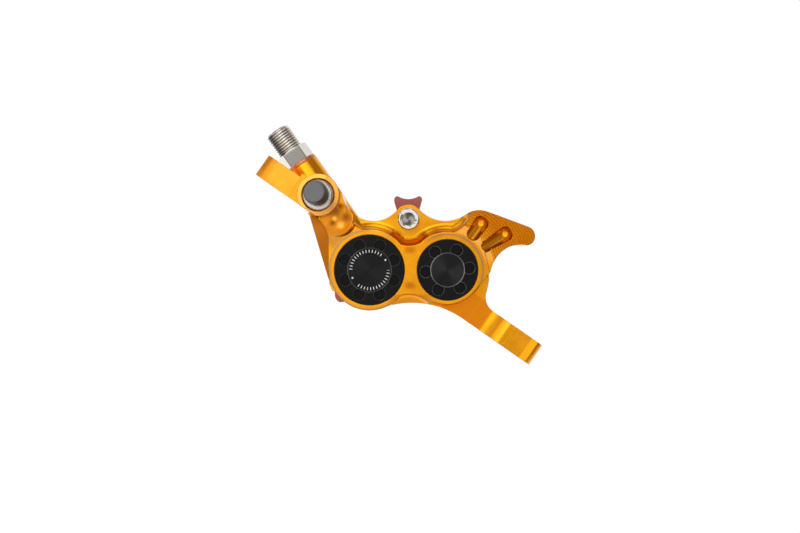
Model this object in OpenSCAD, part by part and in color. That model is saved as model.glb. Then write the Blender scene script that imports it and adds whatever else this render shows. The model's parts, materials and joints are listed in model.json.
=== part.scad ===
// Four piston disc brake caliper for a post mount, with its pads, pistons, seals and fittings.
// Pieces are drawn in a face frame: x across the outer face, y up it, z out of it from the rotor plane.
// placed() then stands them on the mounting plane, with the origin midway between the two bolts.
// Points "on the mount" are [along the line of bolts, away from the posts].

/* [Mounting] */
// Distance between the two mounting bolts
mount_spacing = 74.2; // [72:0.1:76]
// Angle between the line of bores and the line of bolts, in degrees
mount_angle = 34.85; // [34.4:0.05:35.3]
// From the rotor plane out to the line of bolts
rotor_offset = 9; // [8.9:0.1:9.6]
// From a bolt to the end of its ear
ear_end = 7.2; // [6.4:0.1:8]
// Thickness of an ear along its bolt
ear_t = 6.2; // [5.6:0.1:6.8]
// Width of an ear across the rotor plane
ear_w = 13.2; // [12.4:0.1:13.4]
// Corner radius of an ear, seen along its bolt
ear_corner_r = 3.8; // [2:0.1:4.4]
// From the right bolt back to the middle of the waist behind its ear
waist_back = 5.95; // [5.4:0.05:6.6]
// The same at the left bolt
waist_back_left = 7.9; // [7.5:0.05:8.3]
// Radius of the waist
waist_r = 7; // [6:0.1:9]
// How far the arm behind the waist lies below the ear's side
waist_step = 1.4; // [1:0.1:1.8]
// How far the waist dips below the arm
waist_dip = 0.2; // [0.1:0.05:0.4]
// Width of a bolt slot
bolt_slot_w = 6.5; // [6.2:0.1:6.8]
// Length of a bolt slot
bolt_slot_l = 9.6; // [8:0.1:9.8]

/* [Bores and pistons] */
// Distance between the two bores of a half
bore_pitch = 20.4; // [20:0.1:21]
// Middle of the bores, across the face from the origin
bore_mid = 4.3; // [3.9:0.1:4.7]
// Line of the bores, up the face from the origin
bore_line = -0.1; // [-0.4:0.1:0.3]
// Diameter of the larger pistons
piston_d_large = 16; // [15:0.1:16.4]
// Diameter of the smaller pistons
piston_d_small = 14; // [13:0.1:14.4]
// Room behind a piston at rest
piston_room = 0.75; // [0.5:0.05:1.5]
// Wall of a piston's cup
piston_wall = 1.9; // [1.2:0.1:3]
// Floor of a piston's cup
piston_floor = 2.2; // [1.2:0.1:4]
// Sliding clearance round a piston
piston_fit = 0.03; // [0.02:0.01:0.08]
// Depth of a piston seal's groove
seal_t = 1.5; // [1:0.1:1.7]
// Width of a piston seal
seal_w = 2.2; // [1.5:0.1:2.4]
// From the pad chamber's wall to a seal groove
seal_back = 1.8; // [1.2:0.1:2.2]

/* [Bore caps] */
// Diameter of the larger cap
cap_d_large = 18.4; // [18.2:0.1:18.8]
// Diameter of the smaller cap
cap_d_small = 16; // [15.8:0.1:16.4]
// Clearance round a cap
cap_fit = 0.05; // [0.02:0.01:0.1]
// How far a cap's rim sits below the face
cap_recess = 0.4; // [0.2:0.1:0.8]
// Diameter of the larger cap's turned centre
hub_d_large = 11.6; // [10:0.1:12]
// Diameter of the smaller cap's turned centre
hub_d_small = 9; // [8:0.1:9.4]
// How far the turned centre stands above the rim
hub_rise = 0.25; // [0.1:0.05:0.35]
// Diameter of a tool pocket
pocket_d = 3.1; // [2.6:0.1:3.2]
// Depth of a tool pocket
pocket_depth = 2; // [1:0.1:2.4]
// Wall between a tool pocket and the cap's edge
pocket_wall = 0.75; // [0.5:0.05:1]
// Tool pockets in the larger cap
pockets_large = 8; // [6:1:9]
// Tool pockets in the smaller cap
pockets_small = 6; // [5:1:7]
// Section of the ring that seals a cap
cap_ring_t = 0.9; // [0.7:0.05:1]

/* [Body] */
// From the rotor plane to the outer face
face_h = 18; // [17.6:0.1:18.6]
// From the rotor plane to the terrace round the pad pin
terrace_h = 13; // [12.6:0.1:13.4]
// From the rotor plane to the seat of the bore caps
cap_seat_h = 13; // [12.8:0.1:13.4]
// From the rotor plane to the back of the inner half
back_h = 15.5; // [15:0.1:16.5]
// From the rotor plane to the low step on the left side
side_step_h = 9; // [8:0.1:10]
// Wall of the body round the larger cap
cap_wall_large = 1.4; // [1.2:0.05:1.5]
// Wall of the body round the smaller cap
cap_wall_small = 1.45; // [1.3:0.05:1.6]
// Radius of the coves at the foot of the bosses
cove_r = 3; // [2.4:0.1:3.4]
// Angle at which a cove runs out on its floor
cove_end = 12; // [8:1:20]
// Half width of the pad chamber
chamber_half = 5.6; // [5.5:0.1:6]
// How much shallower the blind bores are than the open ones
blind_step = 0.1; // [0.05:0.05:0.3]
// Distance of the pad pin above the line of bores
pin_rise = 13.35; // [13:0.05:13.7]
// Radius of the body round the pad pin
pin_boss_r = 4; // [3.6:0.1:4.3]
// Radius of the web's scoops above and below
scoop_r = 7; // [6.6:0.1:7.3]
// Distance of the lower scoop's centre below the line of bores
low_scoop_drop = 13.3; // [13:0.1:13.8]
// Radius of the arch under the body
arch_r = 23.4; // [22.6:0.1:24]
// Radius of the fillet between the body's right side and the arm
arm_fillet_r = 4.5; // [4:0.1:5]
// Right side of the body, across the face from the smaller bore
right_side = 10.2; // [10:0.1:10.6]

/* [Horn] */
// Radius at which the horn's steps begin, about the smaller bore
step_from = 12.2; // [11.8:0.1:12.6]
// Radial pitch of the steps
step_pitch = 0.77; // [0.7:0.01:0.84]
// Drop of each step
step_drop = 0.5; // [0.42:0.02:0.54]
// Number of steps
step_count = 18; // [18:1:20]
// Horn's tip, across the face from the smaller bore
horn_tip_out = 21.3; // [20.8:0.1:21.3]
// Horn's tip, above the smaller bore
horn_tip_up = 9.1; // [8.6:0.1:9.1]
// Radius of the horn's tip
horn_tip_r = 2.55; // [2.2:0.05:2.9]
// Width of the horn's pockets
horn_pocket_w = 3.9; // [3.4:0.1:4.1]
// How far the middle of a pocket's outer end lies below the horn's slope
horn_pocket_sink = 0.35; // [0.2:0.05:0.6]

/* [Pads] */
// Overhang of a pad beyond the pistons
pad_overhang = 1.8; // [1.2:0.1:1.9]
// Bottom of a pad below the line of bores
pad_drop = 9.1; // [8.6:0.1:9.4]
// Top of a pad above the line of bores
pad_rise = 8.2; // [7.8:0.1:8.4]
// Corner radius of a pad
pad_corner_r = 2.4; // [1:0.1:3]
// Radius of the hollow along a pad's lower edge
pad_hollow_r = 120; // [100:1:160]
// Thickness of a backing plate
plate_t = 1.8; // [1.5:0.1:2]
// Thickness of a friction lining
lining_t = 2.2; // [1.6:0.1:2.2]
// Gap between the linings, for the rotor
rotor_gap = 2.4; // [2.2:0.1:2.8]
// Width of the groove in a lining
lining_groove = 1.2; // [0.8:0.1:1.6]
// How far a lining lies inside its plate
lining_inset = 0.7; // [0.4:0.1:1.2]
// Half width of the pad's tab
tab_half = 3.8; // [3.5:0.1:4]
// Half width of the neck under the tab
tab_neck = 3.05; // [2.8:0.1:3.2]
// Height of the tab above the pin
tab_rise = 6.7; // [6.4:0.1:7]
// Radius of the tab's two lobes
lobe_r = 0.95; // [0.8:0.05:1.1]
// Clearance between the pads and the chamber
pad_fit = 0.2; // [0.15:0.05:0.3]

/* [Pad pin] */
// Diameter of the pin
pin_d = 3; // [2.6:0.1:3.2]
// Diameter of the pin's head
pin_head_d = 5.8; // [5.2:0.1:6.2]
// Height of the pin's head
pin_head_t = 4; // [3:0.1:4.6]
// Width of the pin's hexagon socket across its flats
pin_socket = 3; // [2.5:0.1:3.2]
// Clearance of the pin in the body
pin_fit = 0.05; // [0.03:0.01:0.1]
// Clearance of the pads on the pin
pin_slack = 0.35; // [0.3:0.05:0.5]
// Thickness of the spring's leaf
leaf_t = 0.4; // [0.3:0.05:0.5]
// Reach of the spring to each side of the pin
spring_reach = 11.4; // [10.6:0.1:11.8]
// Drop of the spring below the pin
spring_drop = 3.9; // [3.6:0.1:4.2]
// Gap between the spring and a backing plate
spring_gap = 1.2; // [1.1:0.05:1.4]
// Outer diameter of the pin's clip
clip_d = 5.4; // [5:0.1:6]
// Thickness of the pin's clip
clip_t = 0.6; // [0.4:0.05:0.8]

/* [Bleed port] */
// Bleed boss along the line of bolts, on the mount
bleed_x = -27; // [-27.4:0.1:-26.6]
// Bleed boss away from the posts, on the mount
bleed_z = 4.96; // [4.8:0.02:5.2]
// Radius of the bleed boss
bleed_boss_r = 5.55; // [5.3:0.05:5.7]
// From the rotor plane to the bleed boss's face
bleed_h = 18.6; // [18.2:0.1:19]
// Diameter of the nipple's collar
collar_d = 8.4; // [8:0.1:8.6]
// Diameter of the nipple's thread
nipple_d = 5; // [4.6:0.1:5.4]
// Diameter of the nipple's spout
spout_d = 4.2; // [3.8:0.1:4.4]
// Height of the spout above the boss's face
spout_len = 9.4; // [8:0.1:10]
// Depth of the nipple's seat below the boss's face
nipple_seat = 2.8; // [2.2:0.1:3.4]
// Gap round the nipple's collar
collar_gap = 0.08; // [0.04:0.01:0.1]
// Length of the nipple's thread
nipple_len = 6; // [5:0.1:6.6]
// Bore of the nipple
nipple_bore = 1.6; // [1.2:0.1:2]
// Clearance round the screwed-in fittings
thread_fit = 0.05; // [0.02:0.01:0.1]
// Diameter of the rubber cap at its widest
bleed_cap_d = 6.2; // [5.8:0.1:6.6]
// Diameter of the rubber cap's flat top
bleed_cap_top_d = 5; // [4.6:0.1:5.4]
// Height of the rubber cap's top above the boss's face
bleed_cap_len = 13.2; // [12:0.1:14]
// Length of the rubber cap's sloping end
bleed_cap_slope = 4.8; // [3:0.1:6]
// Clearance of the rubber cap on the spout
bleed_cap_fit = 0.05; // [0.02:0.01:0.1]

/* [Hose connector] */
// Seat of the connector along the line of bolts, on the mount
hose_x = -37.5; // [-37.9:0.1:-37.1]
// Seat of the connector away from the posts, on the mount
hose_z = 9.24; // [9.1:0.02:9.4]
// Angle of the hose boss to the mounting plane, in degrees
hose_angle = 20.1; // [19.6:0.1:20.6]
// Distance of the hose boss behind the rotor plane
hose_back = 5.5; // [5.3:0.1:5.7]
// Radius of the hose boss
hose_boss_r = 4.9; // [4.7:0.1:5.1]
// Thickness of the copper washer
washer_t = 1; // [0.8:0.1:1.2]
// Width of the connector's hexagon across its flats
hex_af = 8; // [7.6:0.1:8.4]
// Length of the connector's hexagon
hex_len = 4.2; // [3.6:0.1:4.6]
// Angle of the chamfer on the hexagon's corners, in degrees
hex_chamfer = 30; // [20:1:40]
// Major diameter of the connector's thread
hose_thread_d = 7.2; // [6.8:0.1:7.4]
// Length of the connector's thread
hose_thread_len = 6.9; // [6.2:0.1:7.6]
// Diameter of the stub that screws into the body
stub_d = 5; // [4.6:0.1:5.4]
// Length of that stub
stub_len = 6; // [5:0.1:7]
// Bore of the drilled fluid passages
gallery_d = 2.4; // [2:0.1:2.6]

/* [Hidden] */
$fn = 64;

// Finish colours
orange = [0.94, 0.62, 0.1];
black = [0.08, 0.08, 0.08];
steel = [0.74, 0.74, 0.73];
copper = [0.72, 0.4, 0.24];
rubber = [0.16, 0.17, 0.17];
plate_red = [0.58, 0.3, 0.28];
lining_grey = [0.3, 0.28, 0.26];

// A cut runs this far past the faces that it opens
over = 1;
// Solids that are joined overlap by this much
bite = 0.4;
// Round outlines that would just touch overlap by this much
hair = 0.04;

// Turns a point on the mount into a point on the face, and back
function on_face(x, z) = [
  x * cos(mount_angle) + z * sin(mount_angle),
  z * cos(mount_angle) - x * sin(mount_angle)
];
function on_mount(f) = [
  f[0] * cos(mount_angle) - f[1] * sin(mount_angle),
  f[0] * sin(mount_angle) + f[1] * cos(mount_angle)
];

// Point at given distances from two others, on the left of the line from the first to the second
function touching(a, ra, b, rb) = let (
  d = norm(b - a),
  u = (b - a) / d,
  along = (ra * ra - rb * rb + d * d) / (2 * d),
  aside = sqrt(ra * ra - along * along)
) a + along * u + aside * [-u[1], u[0]];

// Bore centres, pin and the radii that follow the pistons and caps
large = [bore_mid - bore_pitch / 2, bore_line];
small = [bore_mid + bore_pitch / 2, bore_line];
pin = [bore_mid, bore_line + pin_rise];
piston_r_large = piston_d_large / 2;
piston_r_small = piston_d_small / 2;
cap_r_large = cap_d_large / 2;
cap_r_small = cap_d_small / 2;
boss_r_large = cap_r_large + cap_wall_large;
boss_r_small = cap_r_small + cap_wall_small;
// The smaller cap's boss leans towards the web
small_boss = small + [-0.3, 0.5];
pin_r = pin_d / 2;
// End of the pin behind the inner half, and the groove of its clip
pin_end = 2.4;
clip_groove_r = pin_r - 0.4;

// Pads, from the rotor outwards
lining_h = rotor_gap / 2;
plate_h = lining_h + lining_t;
plate_back_h = plate_h + plate_t;
piston_gap = 0.05;
piston_h = plate_back_h + piston_gap;
piston_len = cap_seat_h - piston_room - piston_h;
pad_left = large[0] - piston_r_large - pad_overhang;
pad_right = small[0] + piston_r_small + pad_overhang;
pad_bottom = bore_line - pad_drop;
pad_top = bore_line + pad_rise;
tab_top = pin[1] + tab_rise;

// Rotor that the caliper straddles: its rim clears the body inside this slot
rotor_r = 80;
rotor_clear = 2;
rotor_slot_half = 2.2;
rotor_centre = [bore_mid, pad_top - rotor_r];

// Ear and arm levels, from the rotor plane
ear_out_h = rotor_offset + ear_w / 2;
ear_in_h = rotor_offset - ear_w / 2;
arm_out_h = ear_out_h - waist_step;
blind_h = cap_seat_h - blind_step;
inner_floor_h = blind_h - bite;
clip_z = -inner_floor_h - 0.3;
bolt_x = mount_spacing / 2;
ear_x = bolt_x + ear_end;

// Bleed boss and the hose boss's line on the face
bleed = on_face(bleed_x, bleed_z);
bleed_seat_h = bleed_h - nipple_seat;
bleed_hole_r = collar_d / 2 + collar_gap;
hose_seat = on_face(hose_x, hose_z);
hose_turn = -hose_angle - mount_angle;

// Cap levels
rim_h = face_h - cap_recess;
hub_h = rim_h + hub_rise;

// Horn: a wedge whose slopes fall away from the smaller bore
horn_root_h = face_h - 0.3;
horn_slope = atan(step_drop / step_pitch);
horn_back_root_h = back_h - 1;
horn_reach = step_from + step_count * step_pitch;
horn_tip = small + [horn_tip_out, horn_tip_up];
horn_crown = small + [8.6, 9.2];
horn_crown_r = 6.6;
horn_under = small + [19.75, -1.9];
horn_under_r = 8.65;

// Concave sides of the top edge and of the terrace
top_left = [pin[0] - 9.3, pin[1] + 7.8];
top_left_r = norm(top_left - pin) - pin_boss_r + hair;
top_right_r = 9.4;
top_right = touching(pin, pin_boss_r + top_right_r - hair, horn_crown, horn_crown_r + top_right_r - hair);
scoop_left = [pin[0] - 9.5, pin[1] + 3.65];
scoop_right = [pin[0] + 9.6, pin[1] + 3.15];
scoop_low = [bore_mid, bore_line - low_scoop_drop];
web_half = boss_r_small - 2;
web_flare = scoop_r / 2;
web_top = pin[1] - scoop_r + cove_r;
web_bottom = scoop_low[1] + scoop_r - cove_r;

// Hollow beside the bleed boss: balls, each with its place, height over the face and radius
hollows = [[bleed + [5.6, -6.6], 3.2, 5.4], [bleed + [3.05, -5.75], 2.4, 4.4]];

// Straight edge of the outer face from the horn's underside down to the smaller boss
face_end = horn_under + [-horn_under_r, 1.2];
ring_end = small_boss + boss_r_small * [cos(38), -sin(38)];

// Left side of the body: a straight flank and the round step cut into the neck
flank_top = on_face(-26.8, -0.6);
flank_foot = large + [-11.35, -2.2];
flank_end = large + [-10, -5.5];
step_bay_r = 7.15;
step_bay = large + [-boss_r_large - 0.1 - step_bay_r, 7.7];

// Arch under the body: it meets the mounting plane and rounds into the larger boss
large_m = on_mount(large);
arch_x = large_m[0] + sqrt(pow(arch_r + boss_r_large - hair, 2) - pow(arch_r + large_m[1], 2));
arch_toe = large + boss_r_large * (on_face(arch_x, -arch_r) - large) / (arch_r + boss_r_large) * 0.97;

// Fillet between the body's right side and the arm
right_x = small[0] + right_side;
arm_fillet_x = (right_x + arm_fillet_r - (ear_t + arm_fillet_r) * sin(mount_angle)) / cos(mount_angle);
arm_fillet = on_face(arm_fillet_x, ear_t + arm_fillet_r);

module placed() {
  translate([0, rotor_offset, 0])
    rotate([0, -mount_angle, 0])
      rotate([90, 0, 0])
        children();
}

module at(c, z = 0) {
  translate([c[0], c[1], z])
    children();
}

module slab(z0, z1) {
  translate([0, 0, z0])
    linear_extrude(z1 - z0)
      children();
}

// Draws in the mount's own directions, seen on the face
module mount_frame() {
  rotate(-mount_angle)
    children();
}

// Moves a shape to the connector's seat, with z along the hose boss and out of the body
module hose_frame() {
  translate([hose_seat[0], hose_seat[1], -hose_back])
    rotate([0, 0, hose_turn])
      rotate([0, -90, 0])
        children();
}

// Ring between two radii and two heights
module ring(r_in, r_out, z0, z1) {
  rotate_extrude()
    translate([r_in, z0])
      square([r_out - r_in, z1 - z0]);
}

// Solid of revolution from its half section
module turned(points) {
  rotate_extrude()
    polygon(points);
}

module rounded(x0, y0, x1, y1, r) {
  translate([x0 + r, y0])
    square([x1 - x0 - 2 * r, y1 - y0]);
  translate([x0, y0 + r])
    square([x1 - x0, y1 - y0 - 2 * r]);
  for (x = [x0 + r, x1 - r], y = [y0 + r, y1 - r])
    translate([x, y])
      circle(r);
}

// Boss with a cove at its foot
module coved_boss(r, top, floor_z) {
  rise = cove_r * cos(cove_end);
  rotate_extrude() {
    translate([0, floor_z - bite])
      square([r, top - floor_z + bite]);
    difference() {
      translate([0, floor_z - bite])
        square([r + cove_r - bite, rise + bite]);
      translate([r + cove_r, floor_z + rise])
        circle(cove_r);
    }
  }
}

// Round scoop with a cove at its foot, to cut with
module scoop(r, top, floor_z) {
  rise = cove_r * cos(cove_end);
  rotate_extrude()
    intersection() {
      translate([0, floor_z])
        square([r, top - floor_z]);
      union() {
        translate([0, floor_z])
          square([r - cove_r, top - floor_z]);
        translate([0, floor_z + rise])
          square([r, top - floor_z]);
        translate([r - cove_r, floor_z + rise])
          circle(cove_r);
      }
    }
}

// Round pillar about a point of the face
module pillar(c, r, z0, z1) {
  at(c, z0)
    cylinder(r = r, h = z1 - z0);
}

// The two halves between two heights, seen on the face
module halves(z0, z1) {
  difference() {
    union() {
      slab(z0, z1)
        polygon([
          flank_top, bleed, bleed + [4.1, 3.4], [scoop_left[0] - scoop_r - 0.4, bleed[1]], top_left, pin,
          top_right, horn_crown, horn_under - [horn_under_r - bite / 2, 0], [right_x, arm_fillet[1]],
          on_face(arch_x, 0), on_face(arch_x - 0.8, -1.6), arch_toe, flank_end, flank_foot
        ]);
      pillar(small_boss, boss_r_small + 1, z0, z1);
      pillar(pin, pin_boss_r, z0, z1);
    }
    pillar(top_left, top_left_r, z0 - over, z1 + over);
    pillar(top_right, top_right_r, z0 - over, z1 + over);
    pillar(horn_under, horn_under_r, z0 - over, z1 + over);
    pillar(on_face(arch_x, -arch_r), arch_r, z0 - over, z1 + over);
  }
  pillar(large, boss_r_large, z0, z1);
}

// Root of the long arm, from the arch up to the body's right side, with the fillet between them
module arm_root() {
  difference() {
    slab(ear_in_h, arm_out_h)
      polygon([
        small, horn_under - [horn_under_r - bite / 2, 0], [right_x, arm_fillet[1]], arm_fillet,
        on_face(arm_fillet_x, ear_t), on_face(arm_fillet_x, 0), on_face(arch_x, 0),
        on_face(arch_x - 0.8, -1.6), arch_toe, large
      ]);
    pillar(arm_fillet, arm_fillet_r, ear_in_h - over, arm_out_h + over);
    pillar(horn_under, horn_under_r, ear_in_h - over, arm_out_h + over);
    pillar(on_face(arch_x, -arch_r), arch_r, ear_in_h - over, arm_out_h + over);
  }
}

// Low step down the left side, up to the larger boss
module side_step() {
  top = face_h + over;
  difference() {
    slab(side_step_h, top)
      translate([step_bay[0] - step_bay_r, step_bay[1] - 2 * boss_r_large])
        square([2 * step_bay_r, 2 * boss_r_large]);
    pillar(large, boss_r_large + hair, side_step_h - over, top + over);
  }
  pillar(step_bay, step_bay_r, side_step_h, top);
}

// Raised part of the outer face: boss rings, web, neck up to the bleed boss and root of the horn
module raised_face(z0, z1) {
  slab(z0, z1)
    polygon([
      on_face(bleed_x + 0.6, 0.3), bleed, bleed + [4.1, 3.4], [scoop_left[0] - scoop_r - 0.4, bleed[1]],
      [large[0] - 1, large[1] + boss_r_large - 1], large, [large[0] - boss_r_large - 0.1, large[1]],
      [large[0] - boss_r_large - 0.1, step_bay[1]]
    ]);
  slab(z0, z1)
    polygon([
      [large[0], bore_line - web_half],
      [bore_mid - web_flare, web_bottom], [bore_mid + web_flare, web_bottom],
      [small[0], bore_line - web_half], [small[0], bore_line + web_half], [bore_mid + web_flare, web_top],
      [bore_mid - web_flare, web_top], [large[0], bore_line + web_half]
    ]);
  intersection() {
    pillar(small, step_from + bite, z0, z1);
    slab(z0, z1)
      polygon([
        small, small + [0, horn_reach], small + [horn_reach, horn_reach], small + [horn_reach, 0],
        face_end, ring_end
      ]);
  }
}

module outer_face() {
  top = face_h + over;
  intersection() {
    union() {
      difference() {
        raised_face(terrace_h - bite, face_h);
        for (c = [pin, scoop_left, scoop_right])
          at(c)
            scoop(scoop_r, top, terrace_h);
        at(scoop_low)
          scoop(scoop_r, top, arm_out_h);
        for (b = hollows)
          at(b[0], face_h + b[1])
            sphere(b[2]);
      }
      at(large)
        coved_boss(boss_r_large, face_h, terrace_h);
      at(small_boss)
        coved_boss(boss_r_small, face_h, terrace_h);
    }
    halves(terrace_h - over, top);
  }
}

module inner_back() {
  mirror([0, 0, 1])
    intersection() {
      union() {
        at(large)
          coved_boss(boss_r_large, back_h, inner_floor_h);
        at(small_boss)
          coved_boss(boss_r_small, back_h, inner_floor_h);
        slab(inner_floor_h - bite, back_h - 0.6)
          translate([large[0], bore_line - bore_pitch])
            square([2 * bore_pitch, bore_pitch + web_half - 2]);
      }
      halves(inner_floor_h - over, back_h + over);
    }
}

// The horn as seen on the face
module horn_plan(z0, z1) {
  slope = horn_tip - horn_crown;
  lean = atan2(slope[1], slope[0]) - asin((horn_crown_r - horn_tip_r) / norm(slope));
  up = [-sin(lean), cos(lean)];
  difference() {
    union() {
      slab(z0, z1)
        polygon([
          small + [4, 4], horn_crown, horn_crown + horn_crown_r * up, horn_tip + horn_tip_r * up,
          horn_tip, horn_under + [1, horn_under_r - 0.6], horn_under + [0.6 - horn_under_r, 1]
        ]);
      pillar(horn_crown, horn_crown_r, z0, z1);
      pillar(horn_tip, horn_tip_r, z0, z1);
    }
    pillar(horn_under, horn_under_r, z0 - over, z1 + over);
    pillar(top_right, top_right_r, z0 - over, z1 + over);
  }
}

// Stepped wedge about the smaller bore
module horn_wedge() {
  steps = [for (i = [0:step_count - 1]) each [
    [step_from + i * step_pitch, horn_root_h - i * step_drop],
    [step_from + (i + 1) * step_pitch, horn_root_h - i * step_drop]
  ]];
  back_tip_h = horn_back_root_h - step_count * step_drop;
  rotate_extrude()
    polygon(concat(
      [[0, -horn_back_root_h], [0, horn_root_h]],
      steps,
      [[horn_reach, -back_tip_h], [step_from, -horn_back_root_h]]
    ));
}

// Round-ended cutter along a line that falls less than the horn's slope, from its outer end inwards
module horn_pocket(angle, from, to) {
  r = horn_pocket_w / 2;
  fall = 0.75 * horn_slope;
  run = (to - from) / cos(fall);
  at(small)
    rotate([0, 0, angle])
      translate([to, 0, horn_root_h - (to - step_from) * tan(horn_slope) - horn_pocket_sink])
        rotate([0, fall - 90, 0])
          rotate_extrude()
            intersection() {
              translate([0, -r])
                square([r, run + 2 * r]);
              union() {
                circle(r);
                translate([0, run])
                  circle(r);
                translate([-r, 0])
                  square([2 * r, run]);
              }
            }
}

module horn() {
  difference() {
    intersection() {
      at(small)
        horn_wedge();
      horn_plan(-back_h, face_h);
    }
    at(scoop_right)
      scoop(scoop_r, face_h + over, terrace_h);
  }
}

// Ear and its arm, drawn along the bolt and seen from above: side is 1 or -1
module ear(side, root_x, back) {
  mount_frame()
    mirror([side < 0 ? 1 : 0, 0, 0])
      translate([0, ear_t, 0])
        rotate([90, 0, 0])
          linear_extrude(ear_t)
            difference() {
              union() {
                rounded(bolt_x - ear_end, ear_in_h, ear_x, ear_out_h, ear_corner_r);
                translate([root_x, ear_in_h])
                  square([bolt_x - root_x, arm_out_h - hair / 2 - ear_in_h]);
                translate([bolt_x - back, ear_in_h])
                  square([back, ear_w]);
              }
              translate([bolt_x - back, arm_out_h - waist_dip + waist_r])
                circle(waist_r);
            }
}

module bolt_slot(side) {
  mount_frame()
    translate([side * bolt_x, ear_t + over, 0])
      rotate([90, 0, 0])
        linear_extrude(ear_t + 2 * over)
          translate([0, rotor_offset]) {
            square([bolt_slot_w, bolt_slot_l - bolt_slot_w], center = true);
            for (s = [-1, 1])
              translate([0, s * (bolt_slot_l - bolt_slot_w) / 2])
                circle(bolt_slot_w / 2);
          }
}

// Bleed boss, flat where it meets the mounting plane
module bleed_post() {
  intersection() {
    at(bleed)
      translate([0, 0, -hose_back])
        cylinder(r = bleed_boss_r, h = bleed_h + hose_back);
    mount_frame()
      translate([bleed_x - 2 * bleed_boss_r, 0, -hose_back - over])
        cube([4 * bleed_boss_r, 4 * bleed_boss_r, bleed_h + hose_back + 2 * over]);
  }
}

module hose_boss() {
  boss_len = 26;
  hose_frame()
    translate([0, 0, -boss_len])
      cylinder(r = hose_boss_r, h = boss_len);
}

// Hollow for the pads, open at the bottom for the rotor and at the top between neck and horn
module pad_chamber() {
  mouth_inset = 3;
  slab(-chamber_half, chamber_half) {
    translate([pad_left - pad_fit, pad_bottom - 10])
      square([pad_right - pad_left + 2 * pad_fit, pad_top - pad_bottom + 10 + pad_fit]);
    translate([scoop_left[0] - scoop_r + mouth_inset, bore_line])
      square([scoop_right[0] - scoop_left[0] + 2 * (scoop_r - mouth_inset) + over, 2 * bore_pitch]);
  }
}

module rotor_slot() {
  at(rotor_centre, -rotor_slot_half)
    cylinder(r = rotor_r + rotor_clear, h = 2 * rotor_slot_half, $fn = 180);
}

// Straight drilled passage between two points
module passage(from, to) {
  v = to - from;
  translate(from)
    rotate([0, acos(v[2] / norm(v)), atan2(v[1], v[0])])
      cylinder(d = gallery_d, h = norm(v));
}

module passages() {
  back = gallery_d / 2 + 2 * hair - blind_h;
  front = cap_seat_h - gallery_d / 2 - 2 * hair;
  hose_start = [hose_seat[0], hose_seat[1], -hose_back];
  passage(hose_start, [large[0], large[1], back]);
  passage([bleed[0], bleed[1], bleed_seat_h], [bleed[0], bleed[1], -hose_back - gallery_d]);
  passage([bleed[0], bleed[1], front - 1], [large[0], large[1], front]);
  passage([large[0], large[1], front], [small[0], small[1], front]);
  passage([large[0], large[1], back], [small[0], small[1], back]);
}

module bores() {
  for (b = [[large, piston_r_large, cap_r_large], [small, piston_r_small, cap_r_small]])
    at(b[0]) {
      translate([0, 0, -blind_h])
        cylinder(r = b[1] + piston_fit, h = cap_seat_h + blind_h + over / 4);
      translate([0, 0, cap_seat_h])
        cylinder(r = b[2] + cap_fit, h = face_h - cap_seat_h + over);
      for (z = [chamber_half + seal_back, -chamber_half - seal_back - seal_w])
        translate([0, 0, z])
          cylinder(r = b[1] + seal_t, h = seal_w);
    }
  at(pin, -back_h - over)
    cylinder(r = pin_r + pin_fit, h = back_h + face_h);
  at(bleed, bleed_seat_h)
    cylinder(r = bleed_hole_r, h = nipple_seat + over);
  at(bleed, bleed_seat_h - nipple_len - over)
    cylinder(d = nipple_d + 2 * thread_fit, h = nipple_len + 1.25 * over);
  hose_frame()
    translate([0, 0, -stub_len - over])
      cylinder(d = stub_d + 2 * thread_fit, h = stub_len + 2 * over);
}

module caliper_body() {
  color(orange)
    placed()
      difference() {
        union() {
          difference() {
            union() {
              halves(-inner_floor_h, terrace_h);
              outer_face();
            }
            side_step();
          }
          inner_back();
          horn();
          arm_root();
          ear(1, arch_x + over, waist_back);
          ear(-1, -bleed_x, waist_back_left);
          bleed_post();
          hose_boss();
        }
        horn_pocket(54, step_from - 0.6, step_from + 3);
        horn_pocket(31.5, step_from - 0.4, step_from + 6);
        pad_chamber();
        rotor_slot();
        bores();
        passages();
        bolt_slot(1);
        bolt_slot(-1);
      }
}

// Bore cap with a ring of tool pockets round its turned centre
module bore_cap(c, r, hub_r, count, phase) {
  pocket_r = pocket_d / 2;
  pocket_h = rim_h - pocket_depth;
  relief = 0.8;
  at(c)
    difference() {
      union() {
        translate([0, 0, cap_seat_h])
          cylinder(r = r - cap_ring_t, h = cap_ring_t + bite);
        difference() {
          translate([0, 0, cap_seat_h + cap_ring_t])
            cylinder(r = r, h = rim_h - cap_seat_h - cap_ring_t);
          for (i = [0:count - 1])
            rotate(phase + i * 360 / count)
              translate([r - pocket_wall - pocket_r, 0, pocket_h])
                cylinder(r = pocket_r, h = pocket_depth + over);
        }
        translate([0, 0, pocket_h - bite])
          cylinder(r = hub_r, h = hub_h - pocket_h + bite);
      }
      translate([0, 0, cap_seat_h - over])
        cylinder(r = r / 2, h = over + relief);
    }
}

module outer_cap_large() {
  color(black)
    placed()
      bore_cap(large, cap_r_large, hub_d_large / 2, pockets_large, 22.5);
}

module outer_cap_small() {
  color(black)
    placed()
      bore_cap(small, cap_r_small, hub_d_small / 2, pockets_small, 5);
}

module cap_ring(c, r) {
  color(rubber)
    placed()
      at(c)
        ring(r - cap_ring_t + hair / 4, r, cap_seat_h, cap_seat_h + cap_ring_t - hair / 4);
}

module cap_ring_large() {
  cap_ring(large, cap_r_large);
}

module cap_ring_small() {
  cap_ring(small, cap_r_small);
}

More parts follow.
